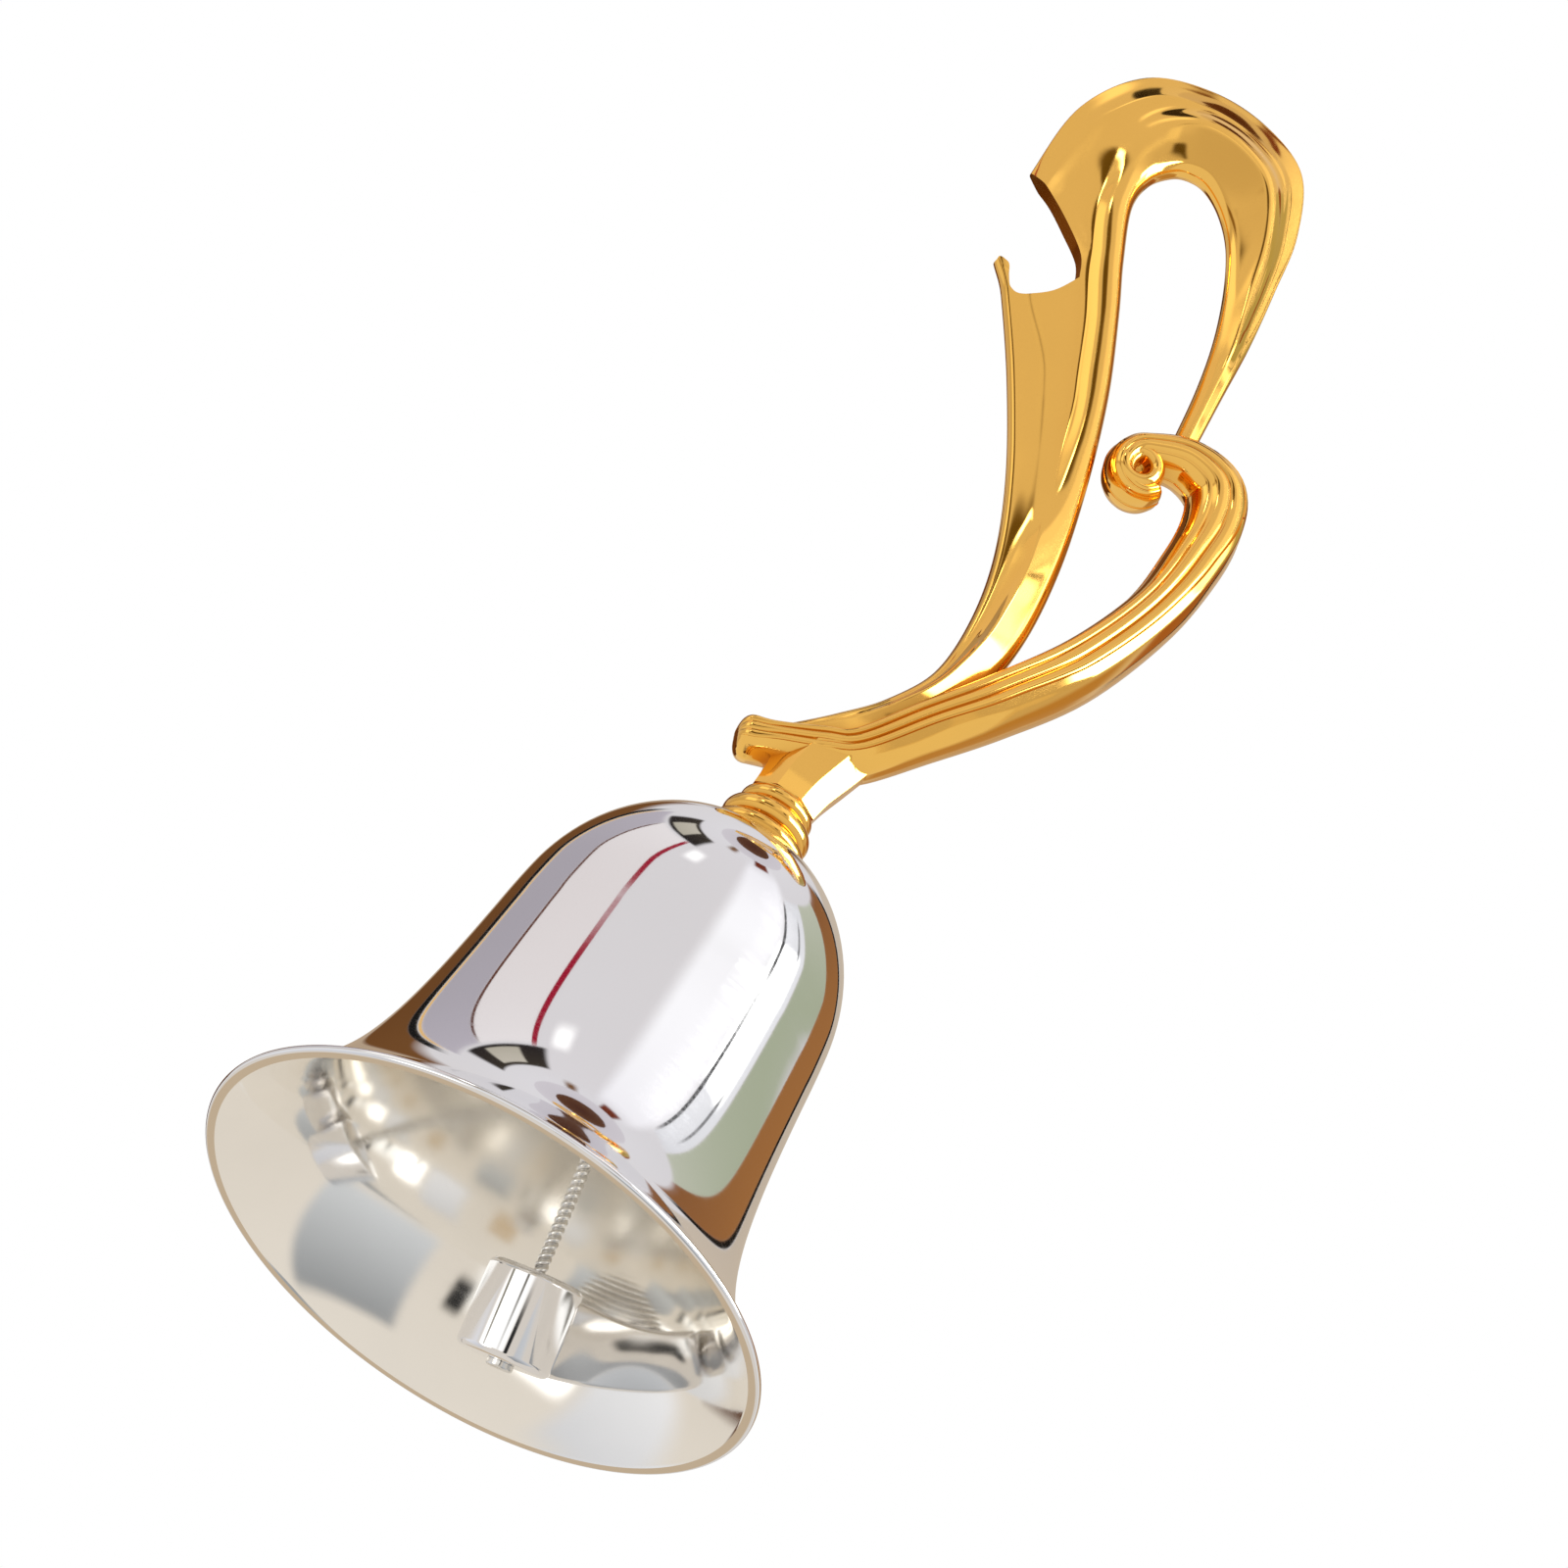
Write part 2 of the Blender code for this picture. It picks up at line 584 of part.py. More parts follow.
def neck_mesh():
    """Eight-sided neck that flares into the underside of the arm."""
    arm = arm_rows()
    root = arm[2 * ARM_STEPS_EACH]
    left = arm[ARM_STEPS_EACH]
    right = arm[3 * ARM_STEPS_EACH]
    slope = (right[1] - left[1]) / (right[0] - left[0])
    rings = []
    for share, size in NECK_SHARE_RINGS:
        rings.append((0.0, share * root[1] * MM, NECK_RADIUS * size, NECK_RADIUS * size, 0.0))
    rings.append((NECK_FLARE / 2.0, root[1] * MM, NECK_RADIUS + NECK_FLARE / 2.0,
                  root[3] * MM / 2.0 - NECK_INSET, slope))
    loops = []
    for middle, height, half_width, half_depth, tilt in rings:
        loop = []
        for side in range(NECK_SIDES):
            angle = (side + 0.5) * 2.0 * math.pi / NECK_SIDES
            x = middle + half_width * math.cos(angle)
            loop.append(Vector((x, half_depth * math.sin(angle), NECK_FOOT + height + tilt * x)))
        loops.append(loop)
    return loft_mesh("neck", loops)


def notch_mesh():
    """Cutter for the notch: a bay that opens to the outer edge of the band."""
    outline = [handle_place(*row) for row in smooth_rows(NOTCH_EDGE, NOTCH_STEPS_EACH)]
    return loft_mesh("notch", [[Vector((place.x, y, place.y)) for place in outline]
                               for y in (-CUTTER_REACH, CUTTER_REACH)])


def scroll_floor_mesh():
    """Floor that closes the eye of the scroll, sunk below both faces."""
    mesh = cylinder_mesh("scroll_floor", SCROLL_FLOOR_RADIUS, -SCROLL_FLOOR_DEPTH / 2.0,
                         SCROLL_FLOOR_DEPTH / 2.0, RING_STEPS)
    centre = handle_place(*SCROLL_CENTRE)
    mesh.transform(Matrix.Translation((centre.x, 0.0, centre.y)) @ Matrix.Rotation(math.pi / 2.0, 4, "X"))
    return mesh


def make_handle():
    """One casting: band, arm and neck joined, then notched and bored for the stud."""
    handle = add_part("handle", band_mesh(), GOLD)
    for mesh in (arm_mesh(), neck_mesh(), scroll_floor_mesh()):
        add_boolean(handle, add_helper(mesh.name, mesh), "UNION")
    bore = cylinder_mesh("neck_bore", BORE_RADIUS, NECK_FOOT - CUTTER_REACH, STUD_TOP + SEAT_GAP, RING_STEPS)
    for mesh in (notch_mesh(), bore):
        add_boolean(handle, add_helper(mesh.name, mesh), "DIFFERENCE")


clear_scene()
PARTS = make_collection("hand_bell")
CUTTERS = make_collection("cutters")
SILVER = make_material("polished_silver_plate", (0.82, 0.82, 0.84), 0.06)
GOLD = make_material("polished_gold_plate", (0.93, 0.60, 0.16), 0.08)
STEEL = make_material("bright_steel", (0.62, 0.62, 0.62), 0.25)
make_bell_shell()
make_collar()
make_handle()
make_fastening()
make_clapper()
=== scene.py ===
"""Hand bell with a cast scroll handle and a swinging clapper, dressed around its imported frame.

The bell stands on its mouth at the origin, +Z is its axis and the handle lies in the XZ plane.
Lengths are in metres unless a name ends in _MM.
"""

import json
import math

import bmesh
import bpy
from bpy.props import FloatProperty, FloatVectorProperty, IntProperty, PointerProperty
from mathutils import Matrix, Vector


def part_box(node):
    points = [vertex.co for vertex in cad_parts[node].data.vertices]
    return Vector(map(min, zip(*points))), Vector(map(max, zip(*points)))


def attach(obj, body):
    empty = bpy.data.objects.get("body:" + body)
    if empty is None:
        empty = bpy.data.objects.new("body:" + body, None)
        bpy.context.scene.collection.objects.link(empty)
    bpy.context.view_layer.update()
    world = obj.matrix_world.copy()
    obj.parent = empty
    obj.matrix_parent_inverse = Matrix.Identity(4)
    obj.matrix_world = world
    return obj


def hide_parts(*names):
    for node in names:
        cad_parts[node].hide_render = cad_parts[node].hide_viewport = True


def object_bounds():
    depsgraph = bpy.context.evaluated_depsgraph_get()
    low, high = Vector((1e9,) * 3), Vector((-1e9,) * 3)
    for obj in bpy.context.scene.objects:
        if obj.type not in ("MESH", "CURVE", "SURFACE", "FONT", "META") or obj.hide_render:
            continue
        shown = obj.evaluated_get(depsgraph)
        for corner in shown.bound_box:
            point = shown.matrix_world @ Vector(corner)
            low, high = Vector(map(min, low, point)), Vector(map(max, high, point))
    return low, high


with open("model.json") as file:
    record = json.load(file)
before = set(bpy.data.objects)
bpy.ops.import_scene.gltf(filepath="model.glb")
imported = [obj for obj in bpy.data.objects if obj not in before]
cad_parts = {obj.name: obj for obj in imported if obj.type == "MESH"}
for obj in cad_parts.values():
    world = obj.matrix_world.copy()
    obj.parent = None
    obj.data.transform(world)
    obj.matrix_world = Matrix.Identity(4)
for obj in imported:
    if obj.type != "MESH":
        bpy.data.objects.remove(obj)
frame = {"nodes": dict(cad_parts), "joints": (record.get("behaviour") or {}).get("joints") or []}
CAD_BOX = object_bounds()

bl_info = {
    "name": "Hand bell",
    "version": (1, 0, 0),
    "blender": (4, 5, 0),
    "location": "3D View > Sidebar > Hand Bell",
    "description": "Builds a hand bell with a scroll handle and a clapper around its packed frame",
    "category": "Object",
}

MM = 0.001
# Gap left between pieces that touch
CONTACT = 0.02 * MM
JOINTS = {joint["name"]: joint for joint in frame["joints"]}
HANDLE_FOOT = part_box("handle")[0][2]

# Arm of the handle from the stub to the scroll: x, height above the neck's foot, width, depth
ARM_PATH_MM = (
    (-6.6, 4.7, 4.6, 5.2),
    (-4.3, 5.6, 4.3, 5.8),
    (0.4, 7.7, 5.3, 6.4),
    (4.0, 10.05, 5.2, 7.0),
    (8.6, 16.95, 5.6, 8.0),
    (13.7, 24.8, 5.8, 9.0),
    (18.7, 33.9, 6.1, 9.4),
    (22.05, 44.3, 6.0, 9.2),
    (22.9, 52.3, 6.4, 8.6),
    (22.6, 58.1, 6.5, 8.1),
    (20.7, 62.4, 6.3, 7.6),
    (16.4, 63.5, 5.2, 7.2),
)
SCROLL_CENTRE_MM = (13.4, 59.0)
SCROLL_START_ANGLE = math.radians(112.0)
SCROLL_TURN = math.radians(215.0)
SCROLL_START_MM = (3.0, 4.2, 7.0)
SCROLL_END_MM = (2.15, 2.1, 5.2)
SCROLL_POINTS = 7
# Heart of the scroll: its middle, and radius and half depth from the eye to the outside
SCROLL_EYE_MM = (12.4, 59.0)
SCROLL_CORE_MM = ((0.25, 1.5), (0.6, 1.6), (0.9, 2.1), (1.2, 2.8), (1.7, 3.2), (2.3, 3.0), (2.8, 2.3),
                  (3.05, 1.2), (3.1, 0.4))

# Leaf, hood and loop of the handle: outer x and height, inner x and height
BAND_EDGES_MM = (
    (-4.8, 7.7, -2.8, 5.6),
    (-0.7, 12.4, 3.2, 9.5),
    (3.1, 17.6, 8.3, 16.5),
    (6.0, 24.2, 11.3, 24.5),
    (6.2, 32.2, 12.3, 33.0),
    (4.5, 40.9, 11.4, 43.0),
    (0.8, 50.3, 9.1, 53.5),
    (-4.7, 60.5, 5.7, 64.9),
    (-10.3, 69.3, 1.8, 74.6),
    (-14.1, 74.5, -1.0, 80.8),
    (-14.8, 85.1, -3.5, 87.5),
    (-14.3, 95.3, -3.3, 91.6),
    (-10.1, 103.1, -1.6, 94.3),
    (-3.2, 106.4, 0.1, 95.2),
    (3.8, 106.5, 2.1, 95.1),
    (10.0, 103.7, 4.8, 93.4),
    (13.3, 96.5, 7.5, 90.2),
    (14.5, 88.9, 9.9, 85.1),
    (15.5, 80.6, 11.9, 78.8),
    (16.0, 72.6, 13.2, 72.0),
    (16.6, 64.0, 14.1, 64.0),
)
# Along the band: half thickness of web, rim, ridge, roof and border step, and width of the outer bevel
BAND_DEPTHS_MM = (
    (0.00, 1.9, 0.0, 0.0, 0.0, 0.00, 0.8),
    (0.06, 2.1, 0.0, 0.0, 0.2, 0.00, 0.8),
    (0.11, 1.7, 0.0, 0.0, 1.0, 0.00, 0.8),
    (0.16, 1.3, 0.0, 0.0, 1.9, 0.00, 0.7),
    (0.225, 1.2, 0.0, 0.1, 1.9, 0.00, 0.6),
    (0.335, 1.1, 0.0, 1.2, 0.0, -0.08, 0.5),
    (0.42, 1.0, 0.0, 1.2, 0.0, -0.08, 0.5),
    (0.50, 0.9, 0.2, 1.2, 0.3, 0.00, 2.0),
    (0.58, 1.0, 0.4, 0.8, 1.3, 0.00, 2.9),
    (0.66, 1.2, 0.4, 0.2, 2.1, 0.00, 3.0),
    (0.76, 1.1, 0.2, 0.0, 2.2, 0.00, 2.8),
    (0.87, 0.9, 0.0, 0.0, 1.7, 0.00, 1.6),
    (0.93, 1.0, 0.0, 0.0, 0.75, 0.00, 0.4),
    (1.00, 1.0, 0.0, 0.0, 0.65, 0.00, 0.3),
)
# Where the crease lies across the band: foot of the leaf's ridge, then top of the loop's roof
CREASE = ((0.00, 0.25), (0.10, 0.25), (0.15, 0.30), (0.20, 0.40), (0.25, 0.49), (0.30, 0.57), (0.35, 0.66),
          (0.40, 0.71), (0.45, 0.735), (0.50, 0.67), (0.55, 0.60), (0.60, 0.52), (0.65, 0.48), (0.75, 0.46),
          (0.85, 0.44), (1.00, 0.50))
# Where the leaf's border line lies across the band
LEAF_LINE = ((0.00, 0.19), (0.12, 0.20), (0.20, 0.28), (0.25, 0.33), (0.355, 0.34), (0.40, 0.22),
             (0.43, 0.04), (0.46, 0.20), (1.00, 0.20))
# Where the crest between the plain underside and the reeds lies across the arm, by row of the arm
ARM_CREST = ((0.0, 0.30), (2.0, 0.40), (4.0, 0.40), (5.0, 0.34), (6.0, 0.29), (7.0, 0.26), (8.0, 0.20),
             (9.5, 0.08), (20.0, 0.08))
# Edge of the notch between hood and leaf tip, from the hood round to the tip
HOOD_EDGE_MM = (
    (-19.0, 85.6),
    (-14.2, 84.0),
    (-11.3, 82.7),
    (-8.4, 80.8),
    (-5.4, 78.4),
    (-4.2, 75.9),
)
LEAF_EDGE_MM = (
    (-4.2, 75.9),
    (-5.8, 72.6),
    (-8.4, 70.1),
    (-9.8, 70.0),
    (-10.6, 71.0),
    (-11.3, 72.3),
    (-11.9, 72.6),
    (-12.7, 72.6),
    (-13.4, 71.9),
    (-19.0, 71.9),
)


def smooth_rows(rows, steps_each):
    """Catmull-Rom curve through rows of numbers, with even steps from row to row."""
    result = [list(rows[0])]
    last = len(rows) - 1
    for index in range(last):
        quad = list(zip(rows[max(index - 1, 0)], rows[index], rows[index + 1], rows[min(index + 2, last)]))
        for step in range(1, steps_each + 1):
            share = step / steps_each
            result.append([
                0.5 * (2.0 * b + (c - a) * share + (2.0 * a - 5.0 * b + 4.0 * c - d) * share ** 2
                       + (3.0 * b - a - 3.0 * c + d) * share ** 3)
                for a, b, c, d in quad])
    return result


def soft_step(value):
    """Smooth step from 0 to 1."""
    value = min(max(value, 0.0), 1.0)
    return value * value * (3.0 - 2.0 * value)


def ramp(value, start, length):
    """Smooth step from 0 to 1 over a length from a start."""
    return soft_step((value - start) / length)


def keyed(rows, share):
    """Values between keyed rows, eased from row to row."""
    for start, end in zip(rows, rows[1:]):
        if share <= end[0]:
            blend = ramp(share, start[0], end[0] - start[0])
            return [a + (b - a) * blend for a, b in zip(start[1:], end[1:])]
    return list(rows[-1][1:])


def arc(centre, radius, start, end, steps):
    """Points of an arc in a profile, with both of its ends."""
    return [(centre[0] + radius * math.cos(start + (end - start) * step / steps),
             centre[1] + radius * math.sin(start + (end - start) * step / steps))
            for step in range(steps + 1)]


def circle(radius, steps):
    """Points of a circle about the origin, as pairs."""
    return [(radius * math.cos(step * math.tau / steps), radius * math.sin(step * math.tau / steps))
            for step in range(steps)]


def finish_mesh(name, form):
    """Turn a bmesh into a mesh with its faces pointing out."""
    bmesh.ops.recalc_face_normals(form, faces=form.faces)
    mesh = bpy.data.meshes.new(name)
    form.to_mesh(mesh)
    form.free()
    return mesh


def turned_mesh(name, profile, steps, marks=None):
    """Closed (radius, height) profile turned about Z. marks gives each stretch of it a finish."""
    form = bmesh.new()
    loops = []
    for step in range(steps):
        turn = step * math.tau / steps
        loops.append([form.verts.new((radius * math.cos(turn), radius * math.sin(turn), height))
                      for radius, height in profile])
    count = len(profile)
    for step in range(steps):
        here, there = loops[step], loops[(step + 1) % steps]
        for index in range(count):
            following = (index + 1) % count
            face = form.faces.new((here[index], there[index], there[following], here[following]))
            face.material_index = marks[index] if marks else 0
    return finish_mesh(name, form)


def loft_mesh(name, rings, closed=False):
    """Skin over rings of equal count. An open loft has both of its ends closed."""
    form = bmesh.new()
    loops = [[form.verts.new(point) for point in ring] for ring in rings]
    count = len(rings[0])
    pairs = list(zip(loops, loops[1:]))
    if closed:
        pairs.append((loops[-1], loops[0]))
    for lower, upper in pairs:
        for index in range(count):
            following = (index + 1) % count
            form.faces.new((lower[index], lower[following], upper[following], upper[index]))
    if not closed:
        form.faces.new(loops[0])
        form.faces.new(loops[-1])
    return finish_mesh(name, form)


# Angles of the rings that round off the end of a wire
CAP_TURNS = (0.5, 1.0, 1.4)


def wire_mesh(name, path, radius, sides, closed=False):
    """Round wire along a path of points, with rounded ends where it is open."""
    count = len(path)
    tangents = []
    for index in range(count):
        before = path[index - 1] if closed or index else path[0]
        after = path[(index + 1) % count] if closed or index < count - 1 else path[-1]
        tangents.append((after - before).normalized())
    side = tangents[0].orthogonal().normalized()
    rings = []
    for point, along in zip(path, tangents):
        side = (side - along * side.dot(along)).normalized()
        other = along.cross(side)
        rings.append([point + (side * x + other * y) * radius for x, y in circle(1.0, sides)])
    if not closed:
        for end, along in ((0, -tangents[0]), (-1, tangents[-1])):
            centre = path[end]
            base = rings[end]
            caps = [[centre + (point - centre) * math.cos(turn) + along * radius * math.sin(turn)
                     for point in base] for turn in CAP_TURNS]
            rings = caps[::-1] + rings if end == 0 else rings + caps
    return loft_mesh(name, rings, closed)


def add_object(name, data):
    """Object in the scene that shows some data."""
    item = bpy.data.objects.new(name, data)
    bpy.context.scene.collection.objects.link(item)
    return item


def add_piece(name, mesh, body, nodes, finishes, sharp=35.0):
    """Show a mesh as a piece that rides on a body and stands for CAD nodes.

    Edges at which the surface turns by more than sharp, in degrees, stay sharp.
    """
    piece = add_object(name, mesh)
    for finish in finishes:
        mesh.materials.append(finish)
    mesh.shade_smooth()
    mesh.set_sharp_from_angle(angle=math.radians(sharp))
    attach(piece, body)
    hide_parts(*nodes)
    return piece


def carve(name, base, joins, cuts):
    """Mesh of a base joined with some closed meshes and cut by others."""
    blank = add_object("blank", base)
    helpers = [blank]
    for meshes, operation in ((joins, "UNION"), (cuts, "DIFFERENCE")):
        for mesh in meshes:
            helper = add_object(mesh.name, mesh)
            helpers.append(helper)
            modifier = blank.modifiers.new(mesh.name, "BOOLEAN")
            modifier.object = helper
            modifier.operation = operation
            modifier.solver = "MANIFOLD"
    graph = bpy.context.evaluated_depsgraph_get()
    result = bpy.data.meshes.new_from_object(blank.evaluated_get(graph))
    for helper in helpers:
        bpy.data.objects.remove(helper, do_unlink=True)
    if not result.polygons:
        raise RuntimeError("the joined mesh is empty")
    result.name = name
    result.materials.clear()
    return result


class ShaderSketch:
    """Node tree of one finish, with short calls to add and join its nodes."""

    def __init__(self, name):
        self.material = bpy.data.materials.new(name)
        self.material.use_nodes = True
        self.tree = self.material.node_tree
        self.shader = self.tree.nodes["Principled BSDF"]
        self.output = self.tree.nodes["Material Output"]
        self.place = self.add("ShaderNodeTexCoord").outputs["Object"]

    def add(self, kind, inputs=None, **settings):
        """Add a node. An input that is a socket is linked, any other is a value."""
        node = self.tree.nodes.new(kind)
        for name, value in settings.items():
            setattr(node, name, value)
        for key, value in (inputs or {}).items():
            if isinstance(value, bpy.types.NodeSocket):
                self.tree.links.new(value, node.inputs[key])
            else:
                node.inputs[key].default_value = value
        return node

    def set(self, **values):
        """Values and links of the shader's own sockets."""
        for key, value in values.items():
            socket = self.shader.inputs[key.replace("_", " ")]
            if isinstance(value, bpy.types.NodeSocket):
                self.tree.links.new(value, socket)
            else:
                socket.default_value = value

    def stretched(self, scale):
        """Object coordinates stretched by three scales."""
        return self.add("ShaderNodeMapping", {"Vector": self.place, "Scale": scale}).outputs["Vector"]

    def noise(self, scale, detail, place=None):
        """Noise in object space, as a socket."""
        return self.add("ShaderNodeTexNoise", {
            "Vector": place or self.place, "Scale": scale, "Detail": detail,
            "Roughness": 0.5}).outputs["Fac"]

    def spread(self, value, low, high, start=0.3, end=0.7):
        """A value mapped to a range."""
        return self.add("ShaderNodeMapRange", {
            "Value": value, "From Min": start, "From Max": end,
            "To Min": low, "To Max": high}).outputs["Result"]

    def sum(self, first, second):
        """Two values added."""
        return self.add("ShaderNodeMath", {0: first, 1: second}, operation="ADD").outputs["Value"]

    def tint(self, share, first, second):
        """Blend of two colours by a share."""
        mix = self.add("ShaderNodeMix", {"Factor": share}, data_type="RGBA")
        colours = [socket for socket in mix.inputs if socket.type == "RGBA"]
        for socket, colour in zip(colours, (first, second)):
            if isinstance(colour, bpy.types.NodeSocket):
                self.tree.links.new(colour, socket)
            else:
                socket.default_value = (*colour, 1.0)
        return next(socket for socket in mix.outputs if socket.type == "RGBA")

    def bump(self, height, strength, distance, normal=None):
        """Bump of a height, as a normal socket."""
        inputs = {"Height": height, "Strength": strength, "Distance": distance}
        if normal is not None:
            inputs["Normal"] = normal
        return self.add("ShaderNodeBump", inputs).outputs["Normal"]


def shade(colour, factor):
    """A colour made darker or lighter."""
    return tuple(min(channel * factor, 1.0) for channel in colour)


def polished_silver(finish):
    """Mirror polished plate on the outside of the cup and on the clapper's weight."""
    sketch = ShaderSketch("polished_silver")
    cloud = sketch.noise(45.0, detail=4.0)
    hairline = sketch.noise(900.0, detail=2.0, place=sketch.stretched((0.15, 0.15, 3.0)))
    sketch.set(Metallic=1.0,
               Base_Color=sketch.tint(sketch.spread(cloud, 0.0, 0.35), tuple(finish.silver),
                                      shade(finish.silver, 0.93)),
               Roughness=sketch.sum(sketch.spread(cloud, 0.015, 0.05), sketch.spread(hairline, 0.0, 0.03)))
    waver = sketch.bump(sketch.noise(70.0, detail=1.0), strength=0.02, distance=0.6 * MM)
    sketch.set(Normal=sketch.bump(hairline, strength=0.015, distance=0.02 * MM, normal=waver))
    return sketch.material


def champagne_silver(finish):
    """Warmer plate inside the cup, with the lines left by spinning."""
    sketch = ShaderSketch("champagne_silver")
    cloud = sketch.noise(60.0, detail=4.0)
    rings = sketch.noise(600.0, detail=2.0, place=sketch.stretched((0.02, 0.02, 1.6)))
    depth = sketch.add("ShaderNodeSeparateXYZ", {"Vector": sketch.place}).outputs["Z"]
    duller = sketch.sum(sketch.spread(cloud, 0.05, 0.08),
                        sketch.spread(depth, 0.0, 0.10, start=8.0 * MM, end=40.0 * MM))
    sketch.set(Metallic=1.0,
               Base_Color=sketch.tint(sketch.spread(cloud, 0.0, 0.6), tuple(finish.inside),
                                      shade(finish.inside, 0.92)),
               Roughness=sketch.sum(duller, sketch.spread(rings, 0.0, 0.03)))
    waver = sketch.bump(sketch.noise(80.0, detail=1.0), strength=0.015, distance=0.6 * MM)
    sketch.set(Normal=sketch.bump(rings, strength=0.02, distance=0.03 * MM, normal=waver))
    return sketch.material


def gilt(finish):
    """Polished gold plate on cast and turned pieces, with painted shade darkening it in creases and
    recesses.
    """
    sketch = ShaderSketch("gilt")
    cloud = sketch.noise(120.0, detail=4.0)
    hairline = sketch.noise(1400.0, detail=2.0, place=sketch.stretched((1.0, 1.0, 0.2)))
    # Painted shade: where ambient occlusion finds creases and recesses, the gold is blended towards a darker
    # colour
    open_share = sketch.add("ShaderNodeAmbientOcclusion", {"Distance": 2.5 * MM}, samples=6).outputs["AO"]
    openness = sketch.spread(open_share, 0.0, 1.0, start=0.40, end=0.95)
    body = sketch.tint(sketch.spread(cloud, 0.0, 0.5), tuple(finish.gold), shade(finish.gold, 0.94))
    sketch.set(Metallic=1.0,
               Base_Color=sketch.tint(openness, tuple(finish.recess), body),
               Roughness=sketch.sum(sketch.spread(cloud, 0.03, 0.08), sketch.spread(hairline, 0.0, 0.03)))
    waver = sketch.bump(sketch.noise(160.0, detail=1.0), strength=0.08, distance=0.5 * MM)
    sketch.set(Normal=sketch.bump(hairline, strength=0.02, distance=0.02 * MM, normal=waver))
    return sketch.material


def drawn_steel(finish):
    """Bright drawn wire and turned steel of the clapper's hardware."""
    sketch = ShaderSketch("drawn_steel")
    cloud = sketch.noise(400.0, detail=4.0)
    drawn = sketch.noise(2500.0, detail=2.0, place=sketch.stretched((1.0, 1.0, 0.15)))
    sketch.set(Metallic=1.0,
               Base_Color=sketch.tint(sketch.spread(cloud, 0.0, 1.0), tuple(finish.steel),
                                      shade(finish.steel, 0.8)),
               Roughness=sketch.sum(sketch.spread(cloud, 0.10, 0.20), sketch.spread(drawn, 0.0, 0.08)))
    sketch.set(Normal=sketch.bump(drawn, strength=0.08, distance=0.03 * MM))
    return sketch.material


FINISHES = {"polished_silver": polished_silver, "champagne_silver": champagne_silver, "gilt": gilt,
            "drawn_steel": drawn_steel}


def finish_named(context, name):
    """A finish by name, made once."""
    return bpy.data.materials.get(name) or FINISHES[name](context.scene.handbell_finish)


class HandbellCup(bpy.types.PropertyGroup):
    """Sizes of the spun cup."""
    mouth_radius: FloatProperty(
        name="Mouth radius", description="Outside radius at the rim", default=32.5 * MM, unit="LENGTH")
    flare_length: FloatProperty(
        name="Flare length", description="Height over which the flare falls off", default=8.0 * MM,
        unit="LENGTH")
    foot_radius: FloatProperty(
        name="Foot radius", description="Radius of the body at the mouth, without the flare",
        default=22.2 * MM, unit="LENGTH")
    shoulder_radius: FloatProperty(
        name="Shoulder radius", description="Radius where the dome starts", default=18.85 * MM,
        unit="LENGTH")
    shoulder_height: FloatProperty(
        name="Shoulder height", description="Height where the dome starts", default=38.0 * MM, unit="LENGTH")
    shoulder_blend: FloatProperty(
        name="Shoulder blend", description="Height over which the body turns into the dome",
        default=5.0 * MM, unit="LENGTH")
    dome_height: FloatProperty(
        name="Dome height", description="Height of the dome's curve", default=20.8 * MM, unit="LENGTH")
    wall: FloatProperty(name="Wall", description="Thickness of the wall", default=1.0 * MM, unit="LENGTH")
    bead: FloatProperty(
        name="Rim bead", description="Radius of the bead along the rim", default=0.45 * MM, unit="LENGTH")
    steps: IntProperty(name="Steps", description="Steps of the turned surface", default=224, min=48)


class HandbellCollar(bpy.types.PropertyGroup):
    """Sizes of the seat ring and collar."""
    seat_radius: FloatProperty(
        name="Seat radius", description="Radius of the ring on the crown", default=5.7 * MM, unit="LENGTH")
    lower_radius: FloatProperty(
        name="Lower bead", description="Radius of the collar's lower bead", default=5.1 * MM, unit="LENGTH")
    upper_radius: FloatProperty(
        name="Upper bead", description="Radius of the collar's upper bead", default=4.2 * MM, unit="LENGTH")
    lower_share: FloatProperty(
        name="Lower share", description="Share of the collar's height that the lower bead takes",
        default=0.57, subtype="FACTOR")
    bore: FloatProperty(name="Bore", description="Radius of the bores", default=1.8 * MM, unit="LENGTH")


class HandbellHandle(bpy.types.PropertyGroup):
    """Sizes of the cast handle's detail."""
    reeds: IntProperty(name="Reeds", description="Number of reeds along the arm", default=3, min=1)
    reed_depth: FloatProperty(
        name="Reed depth", description="Depth of the grooves between the reeds", default=0.38 * MM,
        unit="LENGTH")
    corner: FloatProperty(
        name="Corner radius", description="Rounding of the arm's edges", default=0.8 * MM, unit="LENGTH")
    scroll_corner: FloatProperty(
        name="Scroll rounding", description="Rounding of the scroll's edges", default=1.7 * MM,
        unit="LENGTH")
    border: FloatProperty(
        name="Hood border", description="Width of the raised border along the hood's cut edge",
        default=1.3 * MM, unit="LENGTH")
    neck_radius: FloatProperty(
        name="Neck radius", description="Radius of the eight-sided neck to its corners", default=4.2 * MM,
        unit="LENGTH")
    neck_flare: FloatProperty(
        name="Neck flare", description="How far the neck widens into the arm", default=2.6 * MM,
        unit="LENGTH")


